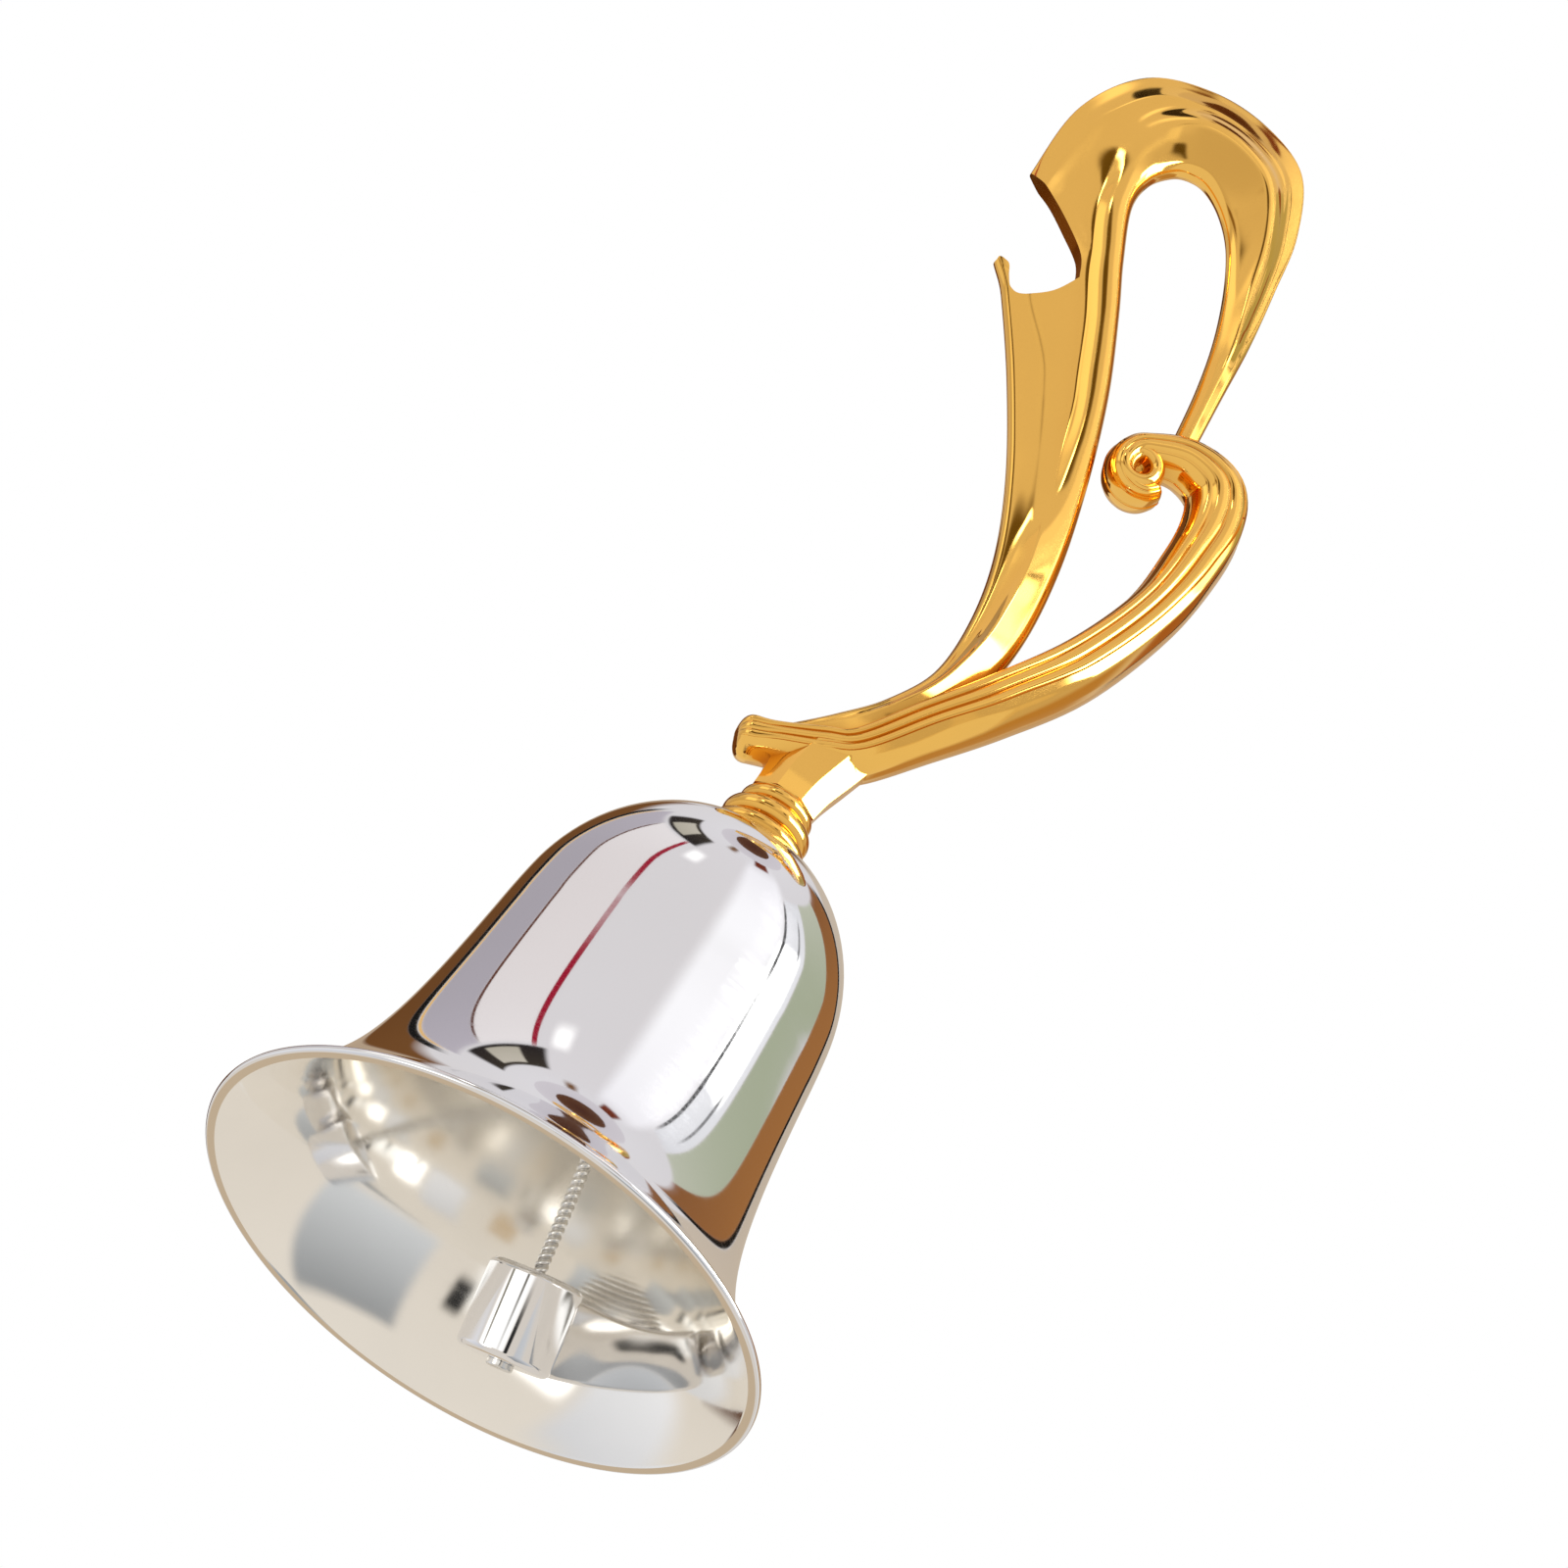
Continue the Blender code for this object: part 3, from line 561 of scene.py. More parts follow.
class HandbellClapper(bpy.types.PropertyGroup):
    """Sizes of the clapper and of the fastening that it hangs from."""
    strand_radius: FloatProperty(
        name="Strand radius", description="Radius of each of the stem's two strands", default=0.38 * MM,
        unit="LENGTH")
    lay: FloatProperty(
        name="Lay", description="Length of one turn of the twisted stem", default=1.7 * MM, unit="LENGTH")
    loop_radius: FloatProperty(
        name="Loop radius", description="Radius of the loop on top of the stem", default=2.0 * MM,
        unit="LENGTH")
    link_radius: FloatProperty(
        name="Link radius", description="Radius of the link ring", default=2.5 * MM, unit="LENGTH")
    link_wire: FloatProperty(
        name="Link wire", description="Wire radius of the link ring", default=0.55 * MM, unit="LENGTH")
    eye_radius: FloatProperty(
        name="Eye radius", description="Radius of the eye bolt's eye", default=2.3 * MM, unit="LENGTH")
    eye_wire: FloatProperty(
        name="Eye wire", description="Wire radius of the eye bolt's eye", default=0.75 * MM, unit="LENGTH")
    thread_pitch: FloatProperty(
        name="Thread pitch", description="Pitch of the stud's thread", default=0.5 * MM, unit="LENGTH")
    rivet_radius: FloatProperty(
        name="Rivet radius", description="Radius of the stem's head under the weight", default=1.5 * MM,
        unit="LENGTH")
    weight_round: FloatProperty(
        name="Weight rounding", description="Rounding of the weight's edges", default=0.8 * MM,
        unit="LENGTH")


class HandbellFinish(bpy.types.PropertyGroup):
    """Colours of the finishes."""
    silver: FloatVectorProperty(
        name="Silver", description="Plate outside the cup", subtype="COLOR", default=(0.86, 0.86, 0.88))
    inside: FloatVectorProperty(
        name="Inside", description="Warmer plate inside the cup", subtype="COLOR",
        default=(0.97, 0.955, 0.925))
    gold: FloatVectorProperty(
        name="Gold", description="Gold plate", subtype="COLOR", default=(0.96, 0.55, 0.12))
    # Painted shade: the darker gold that the gilt blends in by ambient occlusion, in creases and recesses
    recess: FloatVectorProperty(
        name="Gold in recesses", description="Gold plate deep in the casting", subtype="COLOR",
        default=(0.70, 0.33, 0.055))
    steel: FloatVectorProperty(
        name="Steel", description="Drawn steel", subtype="COLOR", default=(0.86, 0.85, 0.83))


class HandbellStage(bpy.types.PropertyGroup):
    """Floor, light and camera."""
    floor: FloatVectorProperty(
        name="Floor", description="Colour of the floor", subtype="COLOR", default=(0.84, 0.84, 0.84))
    lens: FloatProperty(name="Lens", description="Focal length in millimetres", default=270.0)
    tilt: FloatProperty(
        name="Camera rise", description="Angle at which the camera looks up", subtype="ANGLE",
        default=math.radians(30.7))
    roll: FloatProperty(
        name="Camera roll", description="Turn of the bell's axis in the picture", subtype="ANGLE",
        default=math.radians(33.2))
    distance: FloatProperty(
        name="Camera distance", description="Distance along the camera's axis from the mouth",
        default=1.2048, unit="LENGTH")
    key: FloatProperty(name="Key light", description="Power of the key light", default=6.0, unit="POWER")
    fill: FloatProperty(name="Fill light", description="Strength of the light from all sides", default=0.75)


# Distance from the shoulder at which the easing ends, in blend heights, and its steps to each side
BLEND_REACH = 2.5
BLEND_STEPS = 8
# Radius of the crown's flat top, and height at which the flare has its full width
CROWN_FLAT = 2.0 * MM
RIM_EDGE = 0.4 * MM
# Broken inner edge of the rim
RIM_BREAK = 0.15 * MM
# First angle of the rim's bead, on the side towards the axis. What lies inside the wall is dropped
BEAD_START = math.radians(170.0)
BEAD_STEPS = 40
DOME_STEPS = 32
BODY_STEPS = 60
# How much closer together the heights are in the flare
FLARE_CROWDING = 1.6


def eased(cup, radius_at, height):
    """Radius of the cup at a height, eased over the change from the body to the dome."""
    distance = abs(height - cup.shoulder_height)
    reach = cup.shoulder_blend * max(1.0 - distance / (BLEND_REACH * cup.shoulder_blend), 0.0)
    offsets = [reach * (step / BLEND_STEPS) for step in range(-BLEND_STEPS, BLEND_STEPS + 1)]
    return sum(radius_at(cup, height + offset) for offset in offsets) / len(offsets)


def flare_at(cup, height):
    """How far the flare stands out from the body at a height."""
    return (cup.mouth_radius - cup.foot_radius) * math.exp((RIM_EDGE - height) / cup.flare_length)


def cup_radius(cup, height):
    """Outside radius of the cup at a height."""
    if height > cup.shoulder_height:
        rise = min((height - cup.shoulder_height) / cup.dome_height, 1.0)
        return CROWN_FLAT + (cup.shoulder_radius - CROWN_FLAT) * math.sqrt(1.0 - rise ** 2)
    body = cup.foot_radius + (cup.shoulder_radius - cup.foot_radius) * height / cup.shoulder_height
    return body + flare_at(cup, height)


def cup_inner_radius(cup, height):
    """Inside radius of the cup at a height, one wall within the outside."""
    if height > cup.shoulder_height:
        rise = min((height - cup.shoulder_height) / (cup.dome_height - cup.wall), 1.0)
        return CROWN_FLAT + (cup.shoulder_radius - CROWN_FLAT - cup.wall) * math.sqrt(1.0 - rise ** 2)
    taper = (cup.foot_radius - cup.shoulder_radius) / cup.shoulder_height
    slope = taper + flare_at(cup, height) / cup.flare_length
    return cup_radius(cup, height) - cup.wall * math.hypot(1.0, slope)


def wall_heights(cup, lowest, top):
    """Heights down the wall, close together on the dome and in the flare."""
    dome = [cup.shoulder_height + (top - cup.shoulder_height) * math.cos(math.pi / 2.0 * step / DOME_STEPS)
            for step in range(DOME_STEPS)]
    body = [lowest + (cup.shoulder_height - lowest) * (1.0 - step / BODY_STEPS) ** FLARE_CROWDING
            for step in range(BODY_STEPS + 1)]
    return dome + body


class HANDBELL_OT_cup(bpy.types.Operator):
    """Spin the cup with its beaded rim, polished outside and warmer inside"""
    bl_idname = "handbell.cup"
    bl_label = "Cup"

    def execute(self, context):
        cup = context.scene.handbell_cup
        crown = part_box("bell_shell")[1][2]
        bore = context.scene.handbell_collar.bore
        rim = (CAD_BOX[1][0] - cup.bead, cup.bead)
        bead = arc(rim, cup.bead, BEAD_START, -math.pi / 2.0, BEAD_STEPS)
        while bead[0][0] < cup_radius(cup, bead[0][1]):
            bead.pop(0)
        outside = [(bore, crown)]
        outside += [(eased(cup, cup_radius, height), height)
                    for height in wall_heights(cup, bead[0][1], crown)[:-1]]
        inside = [(eased(cup, cup_inner_radius, height), height)
                  for height in reversed(wall_heights(cup, RIM_BREAK, crown - cup.wall))]
        inside.insert(0, (inside[0][0] + RIM_BREAK, 0.0))
        inside.append((bore, crown - cup.wall))
        profile = outside + bead + inside
        marks = [0] * (len(outside) + len(bead)) + [1] * len(inside)
        mesh = turned_mesh("bell_cup", profile, cup.steps, marks)
        add_piece("bell_cup", mesh, "bell", ["bell_shell"],
                  [finish_named(context, "polished_silver"), finish_named(context, "champagne_silver")])
        return {"FINISHED"}


# Steps round the small turned pieces, and over one of their beads
TURNED_STEPS = 128
BEAD_PROFILE_STEPS = 20
# The upper bead's flat top: inset in shares of the bead's height, and one part in so many of its points
FLAT_INSET = 0.25
FLAT_PART = 6


def bead_profile(radius, height, foot):
    """Half-round bead of a turned profile, from its top to its foot."""
    half = height / 2.0
    return arc((radius - half, foot + half), half, math.pi / 2.0, -math.pi / 2.0, BEAD_PROFILE_STEPS)


class HANDBELL_OT_collar(bpy.types.Operator):
    """Turn the seat ring on the crown and the beaded collar on it"""
    bl_idname = "handbell.collar"
    bl_label = "Collar"

    def execute(self, context):
        sizes = context.scene.handbell_collar
        gold = finish_named(context, "gilt")
        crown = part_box("bell_shell")[1][2]
        foot, top = crown + CONTACT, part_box("collar")[0][2] - CONTACT
        bead = bead_profile(sizes.seat_radius, top - foot, foot)
        profile = [(sizes.bore, top)] + bead + [(sizes.bore, foot)]
        ring = turned_mesh("seat_ring_turned", profile, TURNED_STEPS)
        add_piece("seat_ring_turned", ring, "bell", ["seat_ring"], [gold])
        foot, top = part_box("collar")[0][2], HANDLE_FOOT - CONTACT
        split = foot + (top - foot) * sizes.lower_share
        beads = bead_profile(sizes.upper_radius, top - split, split)
        flat = (sizes.upper_radius - FLAT_INSET * (top - split), top)
        beads = [flat] + beads[len(beads) // FLAT_PART:]
        beads += bead_profile(sizes.lower_radius, split - foot, foot)
        profile = [(sizes.bore, top)] + beads + [(sizes.bore, foot)]
        collar = turned_mesh("collar_turned", profile, TURNED_STEPS)
        add_piece("collar_turned", collar, "bell", ["collar"], [gold])
        return {"FINISHED"}


def handle_place(x, height):
    """Place in the plane of the handle, from mm above the neck's foot."""
    return Vector((x * MM, HANDLE_FOOT + height * MM))


def ring_across(outer, inner, section, walls):
    """Ring across Y from (share, half) pairs, with bulged side walls at both edges."""
    across = inner - outer
    length = across.length
    ring = []
    for sign in (-1.0, 1.0):
        run = section if sign < 0.0 else section[::-1]
        for share, half in run:
            place = outer + across * share
            ring.append(Vector((place.x, sign * half, place.y)))
        edge_share, edge_half = run[-1]
        for step in (0.25, 0.5, 0.75):
            swing = 1.0 - 2.0 * step
            bulge = walls * (1.0 - swing * swing) / length
            place = outer + across * (edge_share + (bulge if edge_share > 0.5 else -bulge))
            ring.append(Vector((place.x, sign * edge_half * swing, place.y)))
    return ring


END_STEPS = 9
# Last angle of a rounded end in shares of a right angle, crowding of its rings and fullness of its form
END_SWEEP = 0.97
END_CROWDING = 0.8
END_FULLNESS = 0.7


def rounded_end(rings, length):
    """Rings that round off the end beyond the first of some rings."""
    centre = sum(rings[0], Vector()) / len(rings[0])
    following = sum(rings[1], Vector()) / len(rings[1])
    outwards = (centre - following).normalized() * length
    turns = [math.pi / 2.0 * (step / END_STEPS) ** END_CROWDING * END_SWEEP
             for step in range(END_STEPS, 0, -1)]
    return [[centre + (point - centre) * math.cos(turn) ** END_FULLNESS + outwards * math.sin(turn)
             for point in rings[0]] for turn in turns]


ARM_STEPS_EACH = 8
UNDERSIDE_STEPS = 14
REED_STEPS_EACH = 12
# Places close to the arm's inner edge, in reed steps
LAST_STEPS = (0.6, 0.35, 0.15, 0.04, 0.0)
# Depth of the underside's keel in shares of the arm's depth, and how hollow the underside is
KEEL_SHARE = 0.42
UNDERSIDE_HOLLOW = 1.3
CREST_BEVEL = 0.85 * MM
CREST_SLOPE = math.tan(math.radians(30.0))
# Most that the bevel takes of the underside and the rounding of the width, and outer rounding by inner
MOST_BEVEL = 0.5
MOST_CORNER = 0.48
OUTER_CORNER = 0.5
ARM_CROWN = 0.16
SCROLL_CROWN = 0.34
# Powers of the oval that the section turns into, and where it changes from the outer to the inner curl
OVAL_ACROSS = 2.3
OVAL_DEPTH = 0.45
CURL_CHANGE = (0.35, 0.3)
# Rows of the arm over which its two sides curl into the scroll, and rows by which the inner one leads
CURL_ROWS = 5
INNER_CURL_ROWS = 3
INNER_LEAD = 2
# Rows from the stub over which the reeds deepen, their depth at the stub and the depth lost in the scroll
STUB_ROWS = 2
STUB_REEDS = 0.4
SCROLL_REED_LOSS = 0.5
REED_SHARPNESS = 1.5
LEAST_HALF = 0.15 * MM
ARM_BULGE = 0.12 * MM
STUB_ROUND = 1.5 * MM
SCROLL_ROUND = 0.8 * MM


def arm_rows():
    """Middle line, width and depth of the arm and its scroll."""
    rows = [list(row) for row in ARM_PATH_MM]
    for point in range(SCROLL_POINTS + 1):
        share = point / SCROLL_POINTS
        angle = SCROLL_START_ANGLE + SCROLL_TURN * share
        radius, width, depth = (a + (b - a) * share for a, b in zip(SCROLL_START_MM, SCROLL_END_MM))
        rows.append([SCROLL_CENTRE_MM[0] + radius * math.cos(angle),
                     SCROLL_CENTRE_MM[1] + radius * math.sin(angle), width, depth])
    return smooth_rows(rows, ARM_STEPS_EACH)


def arm_section(width, depth, corner, crown, crest, reeds, reed_depth, curls):
    """Half depth across the arm: a plain slanted underside up to a bevelled crest, then reeds.

    Its outer and its inner side turn round with their curls.
    """
    corner = min(corner, MOST_CORNER * width)
    outer_corner = OUTER_CORNER * corner
    turns = [0.5 * math.pi * step / UNDERSIDE_STEPS for step in range(UNDERSIDE_STEPS)]
    shares = [crest * (1.0 - math.cos(turn)) for turn in turns]
    count = reeds * REED_STEPS_EACH
    shares += [crest + (1.0 - crest) * step / count for step in range(count)]
    shares += [1.0 - (1.0 - crest) / count * rest for rest in LAST_STEPS]
    bevel = min(CREST_BEVEL, MOST_BEVEL * crest * width)
    bevel_fall = bevel * CREST_SLOPE
    side_fall = depth / 2.0 * (1.0 - KEEL_SHARE) - bevel_fall
    section = []
    for share in shares:
        if share < crest:
            fall = (crest - share) * width
            half = depth / 2.0 - bevel_fall * min(fall / bevel, 1.0)
            half -= side_fall * max((fall - bevel) / (crest * width - bevel), 0.0) ** UNDERSIDE_HOLLOW
        else:
            across = (share - crest) / (1.0 - crest)
            half = depth / 2.0 * (1.0 - crown * across * across)
        for from_edge, rounding in (((1.0 - share) * width, corner), (share * width, outer_corner)):
            inset = min(from_edge / rounding, 1.0)
            half -= rounding * (1.0 - math.sqrt(1.0 - (1.0 - inset) ** 2))
        oval = depth / 2.0 * (1.0 - abs(2.0 * share - 1.0) ** OVAL_ACROSS) ** OVAL_DEPTH
        half += (oval - half) * (curls[0] + (curls[1] - curls[0]) * ramp(share, *CURL_CHANGE))
        if share > crest:
            half -= reed_depth * (1.0 - abs(math.sin(math.pi * across * reeds))) ** REED_SHARPNESS
        section.append((share, max(half, LEAST_HALF)))
    return section


def arm_mesh(handle):
    """Reeded arm, swept from its rounded stub into the scroll."""
    rows = arm_rows()
    scroll_start = (len(ARM_PATH_MM) - CURL_ROWS) * ARM_STEPS_EACH
    inner_start = scroll_start - INNER_LEAD * ARM_STEPS_EACH
    rings = []
    for index, (x, height, width, depth) in enumerate(rows):
        before, after = rows[max(index - 1, 0)], rows[min(index + 1, len(rows) - 1)]
        along = Vector((after[0] - before[0], after[1] - before[1])).normalized()
        side = Vector((along.y, -along.x)) * width * MM / 2.0
        middle = handle_place(x, height)
        curl = ramp(index, scroll_start, CURL_ROWS * ARM_STEPS_EACH)
        inner_curl = ramp(index, inner_start, INNER_CURL_ROWS * ARM_STEPS_EACH)
        corner = handle.corner + (handle.scroll_corner - handle.corner) * curl
        crown = ARM_CROWN + (SCROLL_CROWN - ARM_CROWN) * curl
        crest = keyed(ARM_CREST, index / ARM_STEPS_EACH)[0]
        deepening = STUB_REEDS + (1.0 - STUB_REEDS) * ramp(index, 0, STUB_ROWS * ARM_STEPS_EACH)
        reed_depth = handle.reed_depth * (1.0 - SCROLL_REED_LOSS * curl) * deepening
        section = arm_section(width * MM, depth * MM, corner, crown, crest, handle.reeds, reed_depth,
                              (curl, inner_curl))
        rings.append(ring_across(middle + side, middle - side, section, ARM_BULGE))
    stub = rounded_end(rings, STUB_ROUND)
    scroll = rounded_end(rings[::-1], SCROLL_ROUND)
    return loft_mesh("arm", stub + rings + scroll[::-1])


BAND_STEPS_EACH = 10
BORDER_STEPS = 20
WEB_STEPS = 18
RIDGE_STEPS = 34
RIM_SPREAD = 1.3 * MM
BORDER_SPREAD = 0.8 * MM
EDGE_HALF = 0.25 * MM
EDGE_ROUND = 1.1 * MM
# Shares of the width that the bevel and the rounded edge may take
WIDEST_BEVEL = 0.32
WIDEST_ROUND = 0.35
ROOT_REEDS = 4
ROOT_REED_DEPTH = 0.14 * MM
# Share of the outer bevel's form that is flat on the hood
HOOD_CHAMFER = 0.85
# Raised border along the hood's cut edge
HOOD_LIFT = 0.13 * MM
HOOD_LIFT_SPREAD = 0.8 * MM
HOOD_SPAN = (0.36, 0.62)
# Distance over which the leaf's crease and the hood's crest are rounded, and the places averaged for it
SOFT_CREASE = 0.15 * MM
SOFT_CREST = 0.9 * MM
BLUR_STEPS = (-1.0, -0.67, -0.33, 0.0, 0.33, 0.67, 1.0)
# Top of the leaf's ridge between crease and inner edge, and how much slower it falls beyond
RIDGE_TOP = 0.55
RIDGE_FALL = 1.7
# Powers of the roof's two slopes
ROOF_OUTER = 1.5
ROOF_INNER = 1.25
# Where forms start along the band, and over what length they come or go
ROOT_COMES = (0.0, 0.06)
ROOT_GOES = (0.15, 0.12)
CHAMFER_COMES = (0.46, 0.06)
CHAMFER_GOES = (0.84, 0.12)
CREST_COMES = (0.46, 0.08)
TAIL_COMES = (0.84, 0.09)
LIFT_COMES = (0.44, 0.03)
BAND_BULGE = 0.05 * MM


def distance_to(place, line):
    """Distance from a place to a line of points."""
    best = math.inf
    for start, end in zip(line, line[1:]):
        along = end - start
        share = min(max((place - start).dot(along) / along.length_squared, 0.0), 1.0)
        best = min(best, (place - start - along * share).length)
    return best


def band_shares(line, crease):
    """Places across the band, which follow its border line and its crease."""
    turns = [0.5 * math.pi * step / BORDER_STEPS for step in range(BORDER_STEPS)]
    shares = [line * (1.0 - math.cos(turn)) for turn in turns]
    shares += [line + (crease - line) * step / WEB_STEPS for step in range(WEB_STEPS)]
    shares += [crease + (1.0 - crease) * (0.5 - 0.5 * math.cos(math.pi * step / RIDGE_STEPS))
               for step in range(RIDGE_STEPS + 1)]
    return shares


def band_mesh(handle):
    """Leaf, hood and loop as one band between its two edges."""
    rows = smooth_rows(BAND_EDGES_MM, BAND_STEPS_EACH)
    hood = [handle_place(*row) for row in smooth_rows(HOOD_EDGE_MM, steps_each=3)]
    rings = []
    for index, (outer_x, outer_height, inner_x, inner_height) in enumerate(rows):
        along = index / (len(rows) - 1)
        web, rim, ridge, roof, step, bevel = (value * MM for value in keyed(BAND_DEPTHS_MM, along))
        line, crease = keyed(LEAF_LINE, along)[0], keyed(CREASE, along)[0]
        outer = handle_place(outer_x, outer_height)
        inner = handle_place(inner_x, inner_height)
        width = (inner - outer).length
        bevel = min(bevel, WIDEST_BEVEL * width)
        edge_round = min(EDGE_ROUND, WIDEST_ROUND * width)
        root = ramp(along, *ROOT_COMES) * (1.0 - ramp(along, *ROOT_GOES))
        chamfer = HOOD_CHAMFER * ramp(along, *CHAMFER_COMES) * (1.0 - ramp(along, *CHAMFER_GOES))
        tail = ramp(along, *TAIL_COMES)
        softer = (SOFT_CREST - SOFT_CREASE) * ramp(along, *CREST_COMES) * (1.0 - tail)
        blur = (SOFT_CREASE + softer) / width

        def thickness(share):
            """Half thickness of the band at a share of its width, before its edges are rounded."""
            from_outer = share * width
            half = web + rim * math.exp(-((from_outer - bevel) / RIM_SPREAD) ** 2)
            half += step * (1.0 - soft_step((from_outer - line * width) / BORDER_SPREAD + 0.5))
            if share < crease:
                rise = min(max((from_outer - bevel) / (crease * width - bevel), 0.0), 1.0)
                half += roof * rise ** (ROOF_OUTER + (1.0 - ROOF_OUTER) * tail)
                groove = 1.0 - abs(math.sin(math.pi * ROOT_REEDS * share / crease))
                return half - root * ROOT_REED_DEPTH * groove
            across = (share - crease) / (1.0 - crease)
            half += roof * max(1.0 - across, 0.0) ** ROOF_INNER
            run = RIDGE_TOP if across < RIDGE_TOP else RIDGE_FALL * (1.0 - RIDGE_TOP)
            rise = (across - RIDGE_TOP) / run
            return half + ridge * (1.0 - rise * rise)

        section = []
        for share in band_shares(line, crease):
            from_outer, from_inner = share * width, (1.0 - share) * width
            half = sum(thickness(share + blur * offset) for offset in BLUR_STEPS) / len(BLUR_STEPS)
            place = outer.lerp(inner, share)
            if HOOD_SPAN[0] < along < HOOD_SPAN[1]:
                lift = HOOD_LIFT * ramp(along, *LIFT_COMES)
                from_border = distance_to(place, hood) - handle.border
                half += lift * (1.0 - soft_step(from_border / HOOD_LIFT_SPREAD + 0.5))
            rounding = 1.0
            for inset, flat in ((from_outer / bevel, chamfer), (from_inner / edge_round, 0.0)):
                inset = min(inset, 1.0)
                rounding *= inset * flat + math.sqrt(1.0 - (1.0 - inset) ** 2) * (1.0 - flat)
            section.append((share, EDGE_HALF + (half - EDGE_HALF) * rounding))
        rings.append(ring_across(outer, inner, section, BAND_BULGE))
    return loft_mesh("band", rings)


NECK_SIDES = 8
# Depth of the neck by its width, and how far it reaches past the arm's sides
NECK_DEPTH = 0.93
NECK_REACH = 0.05 * MM
CORE_SIDES = 56
BORE_SIDES = 48
NOTCH_HALF_DEPTH = 20.0 * MM
# How far the cutter of the bore starts below the neck, and its room over the stud
BORE_START = 10.0 * MM
STUD_ROOM = 0.3 * MM


def neck_mesh(handle):
    """Eight-sided neck that flares into the underside of the arm."""
    left, root, right = (ARM_PATH_MM[index] for index in (1, 2, 3))
    slope = (right[1] - left[1]) / (right[0] - left[0])
    height = root[1] * MM
    radius, flare = handle.neck_radius, handle.neck_flare
    thin, depth = NECK_DEPTH * radius, root[3] * MM / 2.0 + NECK_REACH
    # From the foot up: middle, height, half width, half depth and tilt
    keys = ((0.0, 0.0, radius * 0.95, thin, 0.0),
            (0.1 * flare, 0.33 * height, radius, thin, 0.0),
            (0.28 * flare, 0.66 * height, radius + flare * 0.25, 0.55 * thin + 0.45 * depth, slope * 0.35),
            (0.62 * flare, 1.06 * height, radius + flare * 0.55, depth, slope))
    loops = []
    for middle, rise, half_width, half_depth, tilt in smooth_rows(keys, steps_each=5):
        loop = []
        for side in range(NECK_SIDES):
            angle = (side + 0.5) * math.tau / NECK_SIDES
            x = middle + half_width * math.cos(angle)
            loop.append(Vector((x, half_depth * math.sin(angle), HANDLE_FOOT + rise + tilt * x)))
        loops.append(loop)
    return loft_mesh("neck", loops)


def scroll_core_mesh():
    """Rounded heart of the scroll, with the recess of its eye on both faces."""
    profile = smooth_rows(SCROLL_CORE_MM, steps_each=5)
    rows = [(radius * MM, half * MM) for radius, half in profile]
    rows += [(radius, -half) for radius, half in reversed(rows)]
    rings = [[Vector((x, half, z)) for x, z in circle(radius, CORE_SIDES)] for radius, half in rows]
    mesh = loft_mesh("scroll_core", rings)
    place = handle_place(*SCROLL_EYE_MM)
    mesh.transform(Matrix.Translation((place.x, 0.0, place.y)))
    return mesh


def notch_mesh():
    """Cutter for the notch: a bay that opens to the outer edge of the band."""
    edge = smooth_rows(HOOD_EDGE_MM, steps_each=6) + smooth_rows(LEAF_EDGE_MM, steps_each=6)[1:]
    outline = [handle_place(*row) for row in edge]
    return loft_mesh("notch", [[Vector((place.x, y, place.y)) for place in outline]
                               for y in (-NOTCH_HALF_DEPTH, NOTCH_HALF_DEPTH)])


def bore_mesh(radius, bottom, top):
    """Cutter for a round bore on the Z axis."""
    return loft_mesh("bore", [[Vector((x, y, height)) for x, y in circle(radius, BORE_SIDES)]
                              for height in (bottom, top)])


class HANDBELL_OT_handle(bpy.types.Operator):
    """Cast the scroll handle: neck, reeded arm with its scroll, leaf, hood and loop in one piece"""
    bl_idname = "handbell.handle"
    bl_label = "Scroll handle"

    def execute(self, context):
        handle = context.scene.handbell_handle
        gold = finish_named(context, "gilt")
        bore = bore_mesh(context.scene.handbell_collar.bore, HANDLE_FOOT - BORE_START,
                         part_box("eye_bolt")[1][2] + STUD_ROOM)
        band = carve("notched_band", band_mesh(handle), [], [notch_mesh()])
        joins = [arm_mesh(handle), neck_mesh(handle), scroll_core_mesh()]
        mesh = carve("scroll_handle", band, joins, [bore])
        add_piece("scroll_handle", mesh, "bell", ["handle"], [gold], sharp=30.0)
        return {"FINISHED"}


def ring_path(centre, first, second, radius, steps, start=0.0, turn=math.tau):
    """Points of a ring about a centre, in the plane of two directions."""
    count = steps if turn >= math.tau else steps - 1
    return [centre + (first * math.cos(start + turn * step / count)
                      + second * math.sin(start + turn * step / count)) * radius for step in range(steps)]


STUD_RADIUS = 1.5 * MM
THREAD_SIDES = 32
# Depth of the thread in shares of its pitch, rows in each pitch and rows over which the thread runs out
THREAD_DEPTH = 0.3
THREAD_ROWS = 8
THREAD_EASE = 12
WASHER_EDGE = 0.12 * MM
WASHER_STEPS = 96
NUT_SIDES = 96
# Rings of the nut from each of its faces, slope of its corners' chamfer and chamfer of its bore
NUT_CUTS_MM = (0.0, 0.05, 0.1, 0.18, 0.28, 0.4)
NUT_SLOPE = 1.6
NUT_CHAMFER = 0.25 * MM


def thread_mesh(name, radius, pitch, bottom, top):
    """Threaded stud on the Z axis, with plain ends."""
    depth = THREAD_DEPTH * pitch
    rows = max(THREAD_ROWS, int((top - bottom) / pitch * THREAD_ROWS))
    rings = []
    for row in range(rows + 1):
        height = bottom + (top - bottom) * row / rows
        ease = min(1.0, min(row, rows - row) / THREAD_EASE)
        ring = []
        for step in range(THREAD_SIDES):
            phase = (height / pitch - step / THREAD_SIDES) % 1.0
            reach = radius - depth * ease * (1.0 - abs(2.0 * phase - 1.0))
            turn = step * math.tau / THREAD_SIDES
            ring.append(Vector((reach * math.cos(turn), reach * math.sin(turn), height)))
        rings.append(ring)
    return loft_mesh(name, rings)


